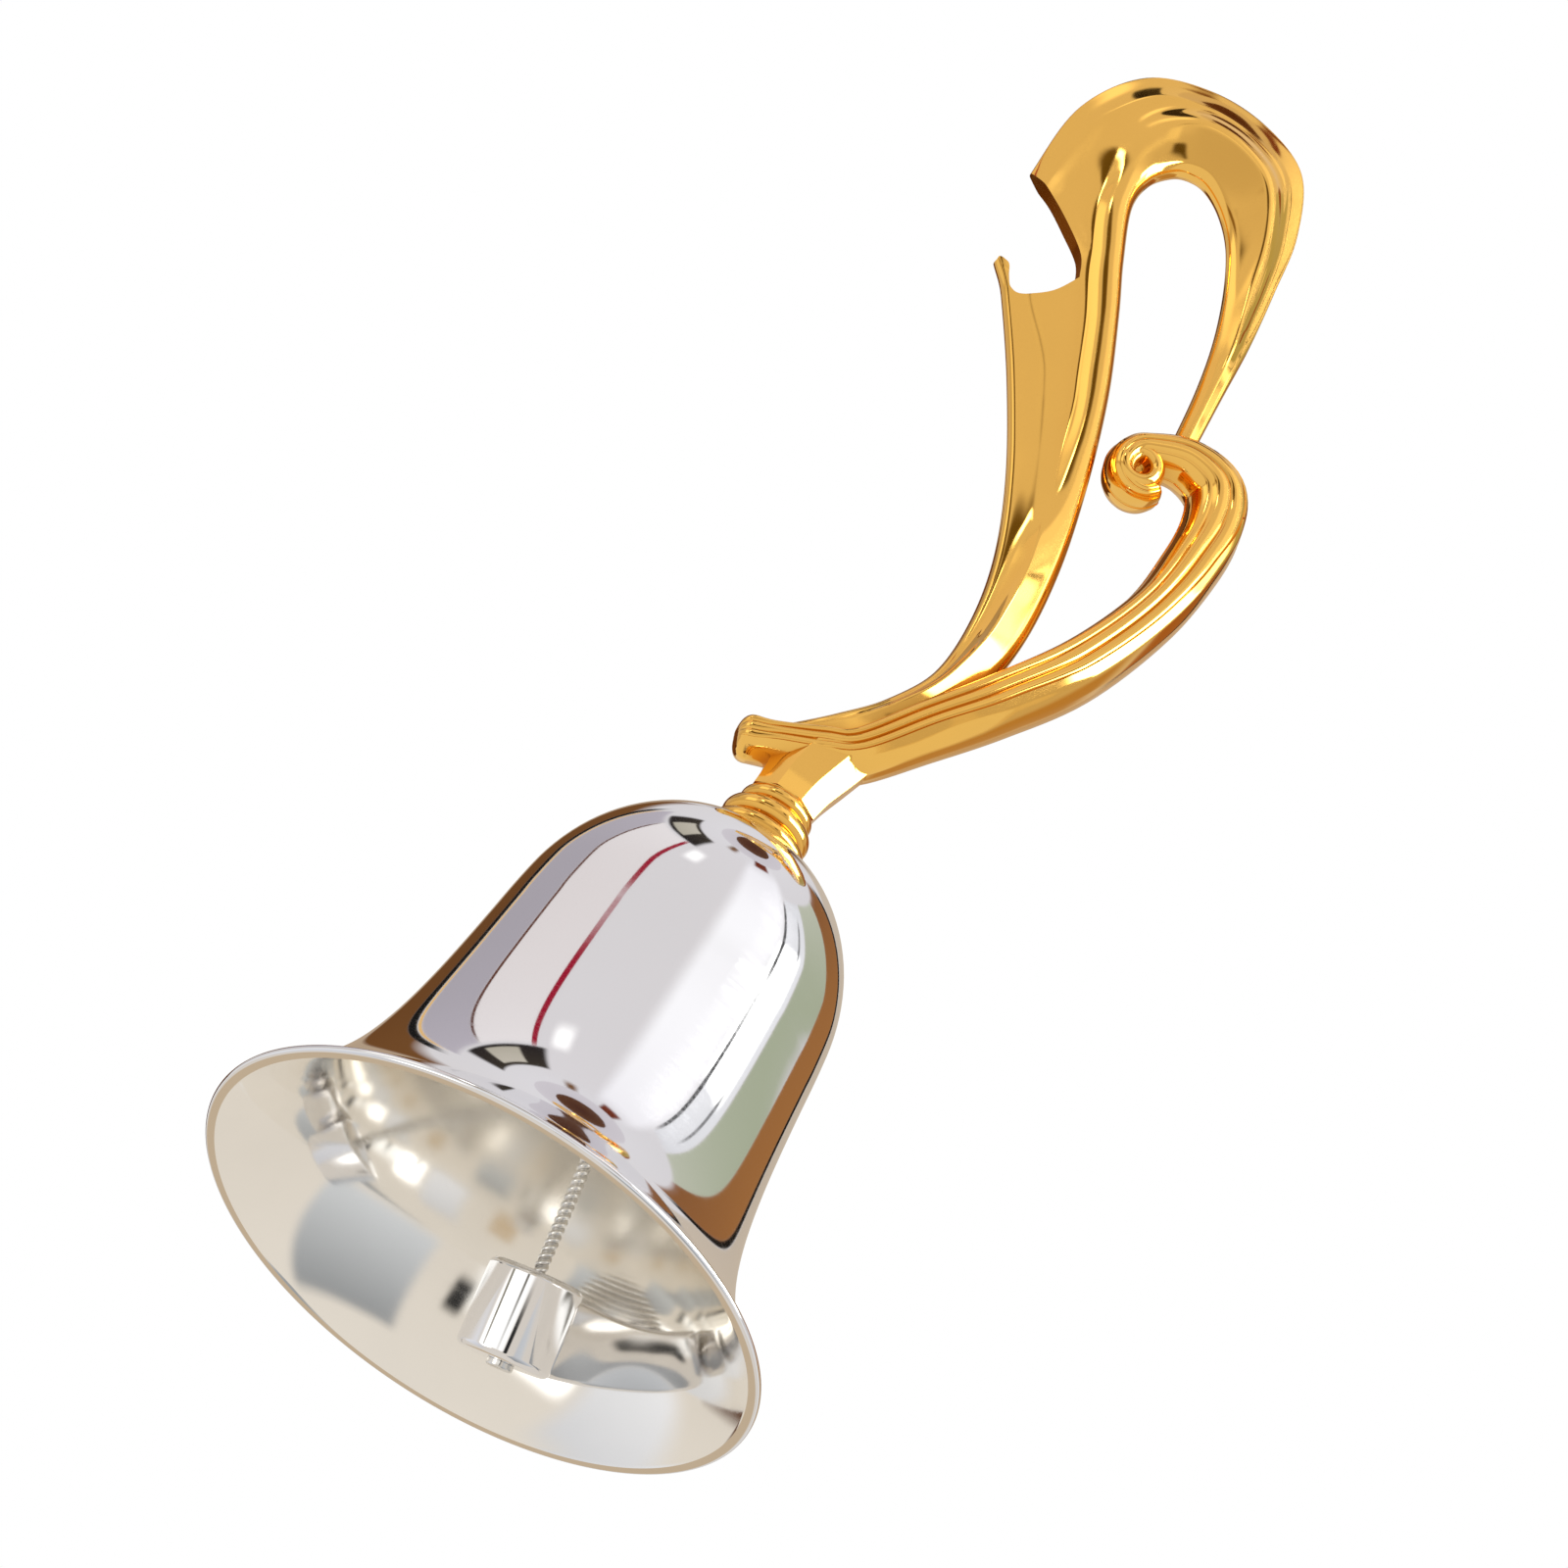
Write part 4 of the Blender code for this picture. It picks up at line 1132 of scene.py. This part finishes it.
def nut_mesh(name, across_flats, bore, bottom, top):
    """Hexagon nut with chamfered corners."""
    half = across_flats / 2.0
    heights = [bottom + cut * MM for cut in NUT_CUTS_MM]
    heights += [top - cut * MM for cut in reversed(NUT_CUTS_MM)]
    rings = []
    for height in heights:
        limit = half + NUT_SLOPE * min(height - bottom, top - height)
        ring = []
        for step in range(NUT_SIDES):
            turn = step * math.tau / NUT_SIDES
            flat = half / math.cos((turn % (math.pi / 3.0)) - math.pi / 6.0)
            reach = min(flat, limit)
            ring.append((reach * math.cos(turn), reach * math.sin(turn), height))
        rings.append(ring)
    wide = bore + NUT_CHAMFER
    inside = ((wide, top), (bore, top - NUT_CHAMFER), (bore, bottom + NUT_CHAMFER), (wide, bottom))
    rings += [[(x, y, height) for x, y in circle(radius, NUT_SIDES)] for radius, height in inside]
    return loft_mesh(name, rings, closed=True)


class HANDBELL_OT_fastening(bpy.types.Operator):
    """Make the eye bolt through the crown, with its washer and nut"""
    bl_idname = "handbell.fastening"
    bl_label = "Fastening"

    def execute(self, context):
        sizes = context.scene.handbell_clapper
        bore = context.scene.handbell_collar.bore
        steel = finish_named(context, "drawn_steel")
        low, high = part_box("eye_bolt")
        eye = Vector((0.0, 0.0, low[2] + sizes.eye_radius + sizes.eye_wire))
        across = Vector(JOINTS["link_swing"]["axis"])
        path = ring_path(eye, across, Vector((0.0, 0.0, 1.0)), sizes.eye_radius, steps=72)
        ring = wire_mesh("eye", path, sizes.eye_wire, sides=24, closed=True)
        stud = thread_mesh("stud", STUD_RADIUS, sizes.thread_pitch, eye.z + sizes.eye_radius, high[2])
        bolt = carve("eye_bolt_threaded", stud, [ring], [])
        add_piece("eye_bolt_threaded", bolt, "bell", ["eye_bolt"], [steel], sharp=50.0)
        low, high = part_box("crown_washer")
        edge = WASHER_EDGE
        profile = [(bore, high[2])]
        profile += arc((high[0] - edge, high[2] - edge), edge, math.pi / 2.0, 0.0, steps=4)
        profile += arc((high[0] - edge, low[2] + edge), edge, 0.0, -math.pi / 2.0, steps=4)
        profile += [(bore, low[2])]
        washer = turned_mesh("flat_washer", profile, WASHER_STEPS)
        add_piece("flat_washer", washer, "bell", ["crown_washer"], [steel])
        low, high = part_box("crown_nut")
        flats = 2.0 * min(high[0], high[1])
        nut = nut_mesh("hexagon_nut", flats, bore, low[2], high[2])
        add_piece("hexagon_nut", nut, "bell", ["crown_nut"], [steel], sharp=25.0)
        return {"FINISHED"}


def clapper_frames():
    """Places of the link's and of the clapper's own frame, with the clapper along -Z."""
    link, clapper = JOINTS["link_swing"], JOINTS["clapper_swing"]
    lean = math.radians(link["range_deg"][1]) / 2.0
    x_link = -Vector(link["axis"])
    y_link = Vector(clapper["axis"])
    z_link = x_link.cross(y_link)
    x_stem = x_link * math.cos(lean) + z_link * math.sin(lean)
    frames = []
    for origin, x, y in ((link["pos_m"], x_link, y_link), (clapper["pos_m"], x_stem, y_link)):
        z = x.cross(y)
        turn = Matrix((x, y, z)).transposed().to_4x4()
        frames.append(Matrix.Translation(origin) @ turn)
    return frames


def node_heights(node, place):
    """Lowest and highest height of a CAD node in a frame of its own."""
    back = place.inverted()
    heights = [(back @ vertex.co).z for vertex in frame["nodes"][node].data.vertices]
    return min(heights), max(heights)


# Kept off the weight's radius, so that it stays clear of the bowed wall that it leans towards
WALL_ROOM = 0.15 * MM
# The link is bent from its first angle almost all the way round
LINK_START = math.radians(14.0)
LINK_TURN = math.radians(347.0)
# From the stem's top down to the middle of the loop's wire, and from its foot up to its strands
LOOP_TOP = 0.6 * MM
STRAND_FOOT = 0.45 * MM
# Between the end of the strands and the loop
LOOP_FOOT = 0.4 * MM
LOOP_OPENING = math.radians(24.0)
STEPS_PER_LAY = 22
RIVET_EDGE = 0.3 * MM
# Radius of the hole left along the rivet's axis
RIVET_CORE = 0.02 * MM
RIVET_STEPS = 48
# Room round the strands in the weight, and chamfer of its bore
STRAND_ROOM = 0.3 * MM
WEIGHT_CHAMFER = 0.3 * MM


class HANDBELL_OT_clapper(bpy.types.Operator):
    """Bend the link ring, twist the stem and turn the weight of the clapper"""
    bl_idname = "handbell.clapper"
    bl_label = "Clapper"

    def execute(self, context):
        sizes = context.scene.handbell_clapper
        steel = finish_named(context, "drawn_steel")
        link_place, stem_place = clapper_frames()
        axes = [Vector(axis) for axis in ((1, 0, 0), (0, 1, 0), (0, 0, 1))]

        top = node_heights("link_ring", link_place)[1]
        centre = Vector((0.0, 0.0, top - sizes.link_wire - sizes.link_radius))
        path = ring_path(centre, axes[1], axes[2], sizes.link_radius, steps=80, start=LINK_START,
                         turn=LINK_TURN)
        ring = wire_mesh("link_wire_ring", path, sizes.link_wire, sides=20)
        ring.transform(link_place)
        add_piece("link_wire_ring", ring, "link", ["link_ring"], [steel])

        foot, top = node_heights("clapper_stem", stem_place)
        weight_foot, weight_top = node_heights("clapper_weight", stem_place)
        strand = sizes.strand_radius
        loop = Vector((0.0, 0.0, top - LOOP_TOP - sizes.loop_radius))
        start = foot + STRAND_FOOT
        end = loop.z - sizes.loop_radius - LOOP_FOOT
        turns = (end - start) / sizes.lay
        count = int(turns * STEPS_PER_LAY)
        strands = []
        for phase in (0.0, math.pi):
            line = []
            for share in (step / count for step in range(count + 1)):
                turn = phase + (share - 1.0) * turns * math.tau
                line.append(Vector((strand * math.cos(turn), strand * math.sin(turn),
                                    start + (end - start) * share)))
            strands.append(line)
        bow = ring_path(loop, axes[0], axes[2], sizes.loop_radius, steps=56,
                        start=-math.pi / 2.0 + LOOP_OPENING, turn=math.tau - 2.0 * LOOP_OPENING)
        stem = wire_mesh("twisted_stem", strands[0] + bow + strands[1][::-1], strand, sides=16)
        seat = weight_foot - CONTACT
        edge = RIVET_EDGE
        head = [(RIVET_CORE, foot)]
        head += arc((sizes.rivet_radius - edge, foot + edge), edge, -math.pi / 2.0, 0.0, steps=6)
        head += [(sizes.rivet_radius, seat), (RIVET_CORE, seat)]
        rivet = turned_mesh("rivet", head, RIVET_STEPS)
        form = bmesh.new()
        form.from_mesh(stem)
        form.from_mesh(rivet)
        form.to_mesh(stem)
        form.free()
        stem.transform(stem_place)
        add_piece("twisted_stem", stem, "clapper", ["clapper_stem"], [steel], sharp=50.0)

        back = stem_place.inverted()
        radius = max(math.hypot(*(back @ vertex.co).xy)
                     for vertex in frame["nodes"]["clapper_weight"].data.vertices) - WALL_ROOM
        bore = 2.0 * strand + STRAND_ROOM
        edge, chamfer = sizes.weight_round, WEIGHT_CHAMFER
        profile = [(bore, weight_top - chamfer), (bore + chamfer, weight_top)]
        profile += arc((radius - edge, weight_top - edge), edge, math.pi / 2.0, 0.0, steps=12)
        profile += arc((radius - edge, weight_foot + edge), edge, 0.0, -math.pi / 2.0, steps=12)
        profile += [(bore + chamfer, weight_foot), (bore, weight_foot + chamfer)]
        weight = turned_mesh("clapper_bob", profile, TURNED_STEPS)
        weight.transform(stem_place)
        add_piece("clapper_bob", weight, "clapper", ["clapper_weight"],
                  [finish_named(context, "polished_silver")])
        return {"FINISHED"}


# Cards of the stage: azimuth from the front towards +X, half width, lowest and highest elevation in degrees,
# colour at the foot and at the top, share of the card over which its edge is soft. Later ones hang nearer.
CARDS = (
    # All round, above and below
    (0.0, 180.0, -6.0, 90.0, (0.62, 0.58, 0.55), (0.84, 0.82, 0.84), 0.0),
    (0.0, 180.0, -90.0, -4.0, (0.78, 0.73, 0.66), (0.74, 0.68, 0.60), 0.0),
    # Behind on the left
    (-172.0, 9.0, 20.0, 46.0, (0.50, 0.38, 0.27), (0.42, 0.30, 0.20), 0.10),
    (-153.0, 13.0, -14.0, 52.0, (0.09, 0.03, 0.01), (0.19, 0.08, 0.025), 0.08),
    (-139.0, 3.2, 20.0, 57.0, (0.01, 0.01, 0.01), (0.01, 0.01, 0.01), 0.15),
    (-134.5, 1.2, 20.0, 57.0, (0.85, 0.52, 0.18), (0.85, 0.52, 0.18), 0.15),
    # In front
    (-26.0, 38.0, 8.0, 78.0, (0.76, 0.73, 0.72), (0.80, 0.77, 0.78), 0.16),
    (31.0, 31.0, 30.0, 78.0, (1.16, 1.15, 1.15), (1.0, 0.98, 1.01), 0.22),
    (4.0, 13.0, 22.0, 37.0, (1.0, 0.98, 0.95), (0.92, 0.90, 0.87), 0.35),
    # On the left
    (-118.0, 16.0, 18.0, 60.0, (0.40, 0.37, 0.40), (0.52, 0.48, 0.53), 0.05),
    (-80.0, 22.0, 26.0, 60.0, (0.80, 0.74, 0.72), (0.90, 0.85, 0.84), 0.05),
    (-101.5, 1.3, 28.0, 60.0, (0.14, 0.05, 0.03), (0.10, 0.03, 0.02), 0.20),
    (-57.5, 2.4, 35.0, 62.0, (0.36, 0.012, 0.035), (0.36, 0.012, 0.035), 0.15),
    (-84.0, 39.0, 60.0, 71.0, (0.025, 0.02, 0.02), (0.05, 0.04, 0.03), 0.08),
    (-86.0, 17.0, 61.5, 69.5, (0.50, 0.46, 0.37), (0.60, 0.55, 0.46), 0.08),
    (-66.0, 16.0, 0.0, 28.0, (1.3, 1.28, 1.2), (1.3, 1.28, 1.2), 0.20),
    # In front, mostly on the left: dark patches and white spots for the gilt
    (-38.0, 10.0, 49.0, 61.0, (1.35, 1.33, 1.30), (1.35, 1.33, 1.30), 0.40),
    (-25.0, 18.0, 17.0, 34.0, (0.10, 0.07, 0.015), (0.16, 0.11, 0.03), 0.25),
    (-41.0, 4.5, 26.0, 33.0, (8.0, 8.0, 7.8), (8.0, 8.0, 7.8), 0.35),
    (-38.0, 9.0, -4.0, 14.0, (0.26, 0.17, 0.06), (0.24, 0.16, 0.06), 0.30),
    (20.0, 6.0, 15.0, 28.0, (0.12, 0.085, 0.02), (0.10, 0.07, 0.02), 0.30),
    # In front on the right: bright panes with dark bars
    (64.0, 31.0, 5.0, 31.0, (11.0, 11.0, 10.8), (11.0, 11.0, 10.8), 0.08),
    (70.0, 12.0, 30.0, 64.0, (0.95, 0.95, 0.96), (0.80, 0.80, 0.82), 0.06),
    (43.5, 12.0, 27.0, 37.5, (11.0, 11.0, 10.8), (11.0, 11.0, 10.8), 0.10),
    (65.0, 13.0, 29.0, 43.0, (4.0, 4.0, 3.9), (4.0, 4.0, 3.9), 0.22),
    (57.5, 1.6, 33.0, 63.0, (0.03, 0.03, 0.03), (0.04, 0.04, 0.04), 0.20),
    (74.0, 1.4, 36.0, 58.0, (0.22, 0.22, 0.22), (0.26, 0.26, 0.26), 0.30),
    # High in front
    (30.0, 16.0, 73.0, 82.0, (0.20, 0.035, 0.015), (0.12, 0.03, 0.012), 0.20),
    (-26.0, 13.0, 72.5, 80.0, (0.24, 0.11, 0.04), (0.14, 0.06, 0.02), 0.45),
    # On the right, round to the back
    (99.0, 18.0, 32.5, 64.0, (0.42, 0.46, 0.32), (0.56, 0.58, 0.46), 0.05),
    (130.0, 15.0, 20.0, 64.0, (0.40, 0.17, 0.05), (0.27, 0.11, 0.04), 0.05),
    (146.0, 2.6, 20.0, 62.0, (0.012, 0.01, 0.008), (0.012, 0.01, 0.008), 0.15),
    (164.0, 16.0, 10.0, 54.0, (0.54, 0.44, 0.33), (0.62, 0.53, 0.43), 0.05),
    (130.0, 22.0, -6.0, 20.0, (0.50, 0.33, 0.16), (0.50, 0.33, 0.16), 0.25),
    (180.0, 15.0, 44.0, 66.0, (0.16, 0.07, 0.03), (0.10, 0.04, 0.02), 0.25),
    # Overhead
    (0.0, 180.0, 78.0, 90.0, (0.70, 0.66, 0.69), (0.62, 0.58, 0.62), 0.0),
    (0.0, 180.0, 83.5, 90.0, (0.12, 0.05, 0.025), (0.08, 0.03, 0.02), 0.0),
    # Below, for the inside of the cup
    (57.0, 37.0, -66.0, -17.0, (0.28, 0.29, 0.30), (0.66, 0.68, 0.70), 0.10),
    (-104.0, 32.0, -70.0, -8.0, (0.62, 0.63, 0.66), (0.90, 0.90, 0.92), 0.25),
    (180.0, 18.0, -50.0, -12.0, (0.60, 0.47, 0.32), (0.60, 0.47, 0.32), 0.20),
    (-24.0, 26.0, -42.0, -8.0, (1.25, 1.24, 1.20), (1.35, 1.34, 1.30), 0.30),
    (-57.0, 21.0, -52.0, -15.0, (2.4, 2.37, 2.3), (2.4, 2.37, 2.3), 0.30),
    (0.5, 7.0, -46.0, -23.0, (0.02, 0.02, 0.02), (0.02, 0.02, 0.02), 0.30),
    (-62.0, 6.0, -38.0, -8.0, (0.20, 0.18, 0.13), (0.22, 0.20, 0.14), 0.45),
    (-22.0, 5.0, -38.0, -10.0, (0.12, 0.11, 0.08), (0.14, 0.12, 0.09), 0.45),
)
# Card that stands close to the bell, so that the hood's cut edge mirrors it instead of the floor
NEAR_CARDS = (
    (-152.0, 8.0, -10.0, 12.0, (0.07, 0.025, 0.008), (0.17, 0.07, 0.02), 0.08),
)
NEAR_DISTANCE = 0.25
CARD_DISTANCE = 0.7
CARD_SPACING = 2.0 * MM
CARD_STEPS = 24
CARD_CENTRE = Vector((0.0, 0.0, 0.07))
# Radii of the floor's rings, from the hole under the mouth outwards, and its room under the rim
FLOOR_RINGS = (33.0 * MM, 66.0 * MM, 0.3, 2.5)
FLOOR_DROP = 0.2 * MM
FLOOR_STEPS = 96
KEY_SIZE = 0.35
KEY_PLACE = Vector((0.45, -0.35, 0.75))
KEY_AIM = Vector((0.0, 0.0, 0.06))
# Place of the camera's axis beside and above the mouth
CAMERA_SIDE = -0.914 * MM
CAMERA_RISE = 58.39 * MM
# Light is mirrored many times inside the cup
MOST_BOUNCES = 40
GLOSSY_BOUNCES = 36


def card_mesh(name, distance, azimuth, half_width, low, high, foot, top, soft):
    """Patch of a sphere about the bell, as a studio card with its colour and its soft edge on its points."""
    form = bmesh.new()
    glow = form.verts.layers.float_color.new("glow")
    grid = []
    columns = max(CARD_STEPS, int(half_width))
    for row in range(CARD_STEPS + 1):
        up = row / CARD_STEPS
        rise = math.radians(low + (high - low) * up)
        line = []
        for column in range(columns + 1):
            across = column / columns
            turn = math.radians(azimuth + half_width * (2.0 * across - 1.0))
            vertex = form.verts.new(CARD_CENTRE + distance * Vector((
                math.cos(rise) * math.sin(turn), -math.cos(rise) * math.cos(turn), math.sin(rise))))
            fade = 1.0
            if soft:
                fade = soft_step(min(across, 1.0 - across) / soft) * soft_step(min(up, 1.0 - up) / soft)
            vertex[glow] = (*(a + (b - a) * up for a, b in zip(foot, top)), fade)
            line.append(vertex)
        grid.append(line)
    for lower, upper in zip(grid, grid[1:]):
        for index in range(columns):
            form.faces.new((lower[index], lower[index + 1], upper[index + 1], upper[index]))
    return finish_mesh(name, form)


def card_glow():
    """Glow of the studio cards, clear towards their soft edges."""
    material = bpy.data.materials.new("card_glow")
    material.use_nodes = True
    tree = material.node_tree
    tree.nodes.clear()
    colour = tree.nodes.new("ShaderNodeAttribute")
    colour.attribute_name = "glow"
    glow = tree.nodes.new("ShaderNodeEmission")
    clear = tree.nodes.new("ShaderNodeBsdfTransparent")
    mix = tree.nodes.new("ShaderNodeMixShader")
    output = tree.nodes.new("ShaderNodeOutputMaterial")
    tree.links.new(colour.outputs["Color"], glow.inputs["Color"])
    tree.links.new(colour.outputs["Alpha"], mix.inputs[0])
    tree.links.new(clear.outputs["BSDF"], mix.inputs[1])
    tree.links.new(glow.outputs["Emission"], mix.inputs[2])
    tree.links.new(mix.outputs["Shader"], output.inputs["Surface"])
    return material


def floor_paint(colour):
    """Pale floor with a faint mottle, plain pale in reflections and clear when it is seen from below."""
    sketch = ShaderSketch("pale_floor")
    mottle = sketch.noise(3.0, detail=4.0)
    sketch.set(Base_Color=sketch.tint(sketch.spread(mottle, 0.0, 1.0), tuple(colour), shade(colour, 0.97)),
               Roughness=sketch.spread(mottle, 0.85, 0.95), Specular_IOR_Level=0.1)
    clear = sketch.add("ShaderNodeBsdfTransparent")
    under = sketch.add("ShaderNodeNewGeometry").outputs["Backfacing"]
    mirrored = sketch.add("ShaderNodeLightPath").outputs["Is Glossy Ray"]
    plain = sketch.add("ShaderNodeEmission", {"Color": (*colour, 1.0)})
    top = sketch.add("ShaderNodeMixShader", {0: mirrored, 1: sketch.shader.outputs["BSDF"],
                                             2: plain.outputs["Emission"]})
    mix = sketch.add("ShaderNodeMixShader", {0: under, 1: top.outputs["Shader"], 2: clear.outputs["BSDF"]})
    sketch.tree.links.new(mix.outputs["Shader"], sketch.output.inputs["Surface"])
    return sketch.material


def floor_mesh():
    """Round floor that faces up, with a hole under the cup's mouth, so that light gets in."""
    form = bmesh.new()
    rings = [[form.verts.new((x, y, -FLOOR_DROP)) for x, y in circle(radius, FLOOR_STEPS)]
             for radius in FLOOR_RINGS]
    for lower, upper in zip(rings, rings[1:]):
        for index in range(FLOOR_STEPS):
            following = (index + 1) % FLOOR_STEPS
            form.faces.new((lower[index], upper[index], upper[following], lower[following]))
    mesh = bpy.data.meshes.new("floor")
    form.to_mesh(mesh)
    form.free()
    return mesh


def set_world(fill):
    """White to the camera and in reflections, and a plain fill light otherwise."""
    world = bpy.data.worlds.new("studio")
    bpy.context.scene.world = world
    world.use_nodes = True
    tree = world.node_tree
    tree.nodes.clear()
    rays = tree.nodes.new("ShaderNodeLightPath")
    seen = None
    for ray in ("Is Camera Ray", "Is Glossy Ray", "Is Transmission Ray"):
        if seen is None:
            seen = rays.outputs[ray]
            continue
        both = tree.nodes.new("ShaderNodeMath")
        both.operation = "MAXIMUM"
        tree.links.new(seen, both.inputs[0])
        tree.links.new(rays.outputs[ray], both.inputs[1])
        seen = both.outputs["Value"]
    mix = tree.nodes.new("ShaderNodeMixShader")
    tree.links.new(seen, mix.inputs[0])
    for socket, strength in ((1, fill), (2, 1.0)):
        background = tree.nodes.new("ShaderNodeBackground")
        background.inputs["Color"].default_value = (1.0, 1.0, 1.0, 1.0)
        background.inputs["Strength"].default_value = strength
        tree.links.new(background.outputs["Background"], mix.inputs[socket])
    output = tree.nodes.new("ShaderNodeOutputWorld")
    tree.links.new(mix.outputs["Shader"], output.inputs["Surface"])


def set_camera(stage):
    """Camera that looks up into the mouth, rolled as in the photograph."""
    data = bpy.data.cameras.new("camera")
    data.lens = stage.lens
    data.sensor_width = 36.0
    data.clip_start = 0.05
    camera = add_object("camera", data)
    forward = Vector((0.0, math.cos(stage.tilt), math.sin(stage.tilt)))
    rise = Vector((0.0, -math.sin(stage.tilt), math.cos(stage.tilt)))
    level = Vector((1.0, 0.0, 0.0))
    right = rise * math.sin(stage.roll) + level * math.cos(stage.roll)
    up = rise * math.cos(stage.roll) - level * math.sin(stage.roll)
    place = Matrix((right, up, -forward)).transposed().to_4x4()
    place.translation = level * CAMERA_SIDE + rise * CAMERA_RISE - forward * stage.distance
    camera.matrix_world = place
    bpy.context.scene.camera = camera


class HANDBELL_OT_stage(bpy.types.Operator):
    """Lay the floor, hang the studio cards and set the light and the camera"""
    bl_idname = "handbell.stage"
    bl_label = "Stage"

    def execute(self, context):
        stage = context.scene.handbell_stage
        scene = context.scene
        floor = add_object("floor", floor_mesh())
        floor.data.materials.append(floor_paint(stage.floor))
        glow = card_glow()
        hung = [(CARD_DISTANCE - CARD_SPACING * number, sizes) for number, sizes in enumerate(CARDS)]
        hung += [(NEAR_DISTANCE, sizes) for sizes in NEAR_CARDS]
        for number, (distance, sizes) in enumerate(hung):
            name = f"card_{number + 1}"
            card = add_object(name, card_mesh(name, distance, *sizes))
            card.data.materials.append(glow)
            card.visible_camera = False
            card.visible_diffuse = False
            card.visible_shadow = False
        key = bpy.data.lights.new("key", "AREA")
        key.energy = stage.key
        key.size = KEY_SIZE
        lamp = add_object("key", key)
        lamp.location = KEY_PLACE
        lamp.rotation_euler = (KEY_AIM - KEY_PLACE).to_track_quat("-Z", "Y").to_euler()
        set_world(stage.fill)
        set_camera(stage)
        scene.view_settings.view_transform = "Standard"
        scene.cycles.max_bounces = MOST_BOUNCES
        scene.cycles.glossy_bounces = GLOSSY_BOUNCES
        return {"FINISHED"}


class HANDBELL_PT_panel(bpy.types.Panel):
    """Pieces of the hand bell, in the order in which they are built"""
    bl_idname = "HANDBELL_PT_panel"
    bl_label = "Hand Bell"
    bl_space_type = "VIEW_3D"
    bl_region_type = "UI"
    bl_category = "Hand Bell"

    def draw(self, context):
        for operator in OPERATORS:
            self.layout.operator(operator.bl_idname)
        for name in GROUPS:
            box = self.layout.box()
            group = getattr(context.scene, name)
            for key in group.__annotations__:
                box.prop(group, key)


GROUPS = {
    "handbell_cup": HandbellCup,
    "handbell_collar": HandbellCollar,
    "handbell_handle": HandbellHandle,
    "handbell_clapper": HandbellClapper,
    "handbell_finish": HandbellFinish,
    "handbell_stage": HandbellStage,
}
OPERATORS = (HANDBELL_OT_cup, HANDBELL_OT_collar, HANDBELL_OT_handle, HANDBELL_OT_fastening,
             HANDBELL_OT_clapper, HANDBELL_OT_stage)


def register():
    """Register the property groups, operators and panel."""
    for name, group in GROUPS.items():
        bpy.utils.register_class(group)
        setattr(bpy.types.Scene, name, PointerProperty(type=group))
    for kind in (*OPERATORS, HANDBELL_PT_panel):
        bpy.utils.register_class(kind)


def unregister():
    """Take back what register added."""
    for kind in reversed((*OPERATORS, HANDBELL_PT_panel)):
        bpy.utils.unregister_class(kind)
    for name, group in reversed(GROUPS.items()):
        delattr(bpy.types.Scene, name)
        bpy.utils.unregister_class(group)


def main():
    """Build every piece and the stage."""
    register()
    bpy.ops.handbell.cup()
    bpy.ops.handbell.collar()
    bpy.ops.handbell.handle()
    bpy.ops.handbell.fastening()
    bpy.ops.handbell.clapper()
    bpy.ops.handbell.stage()


if __name__ == "__main__":
    main()
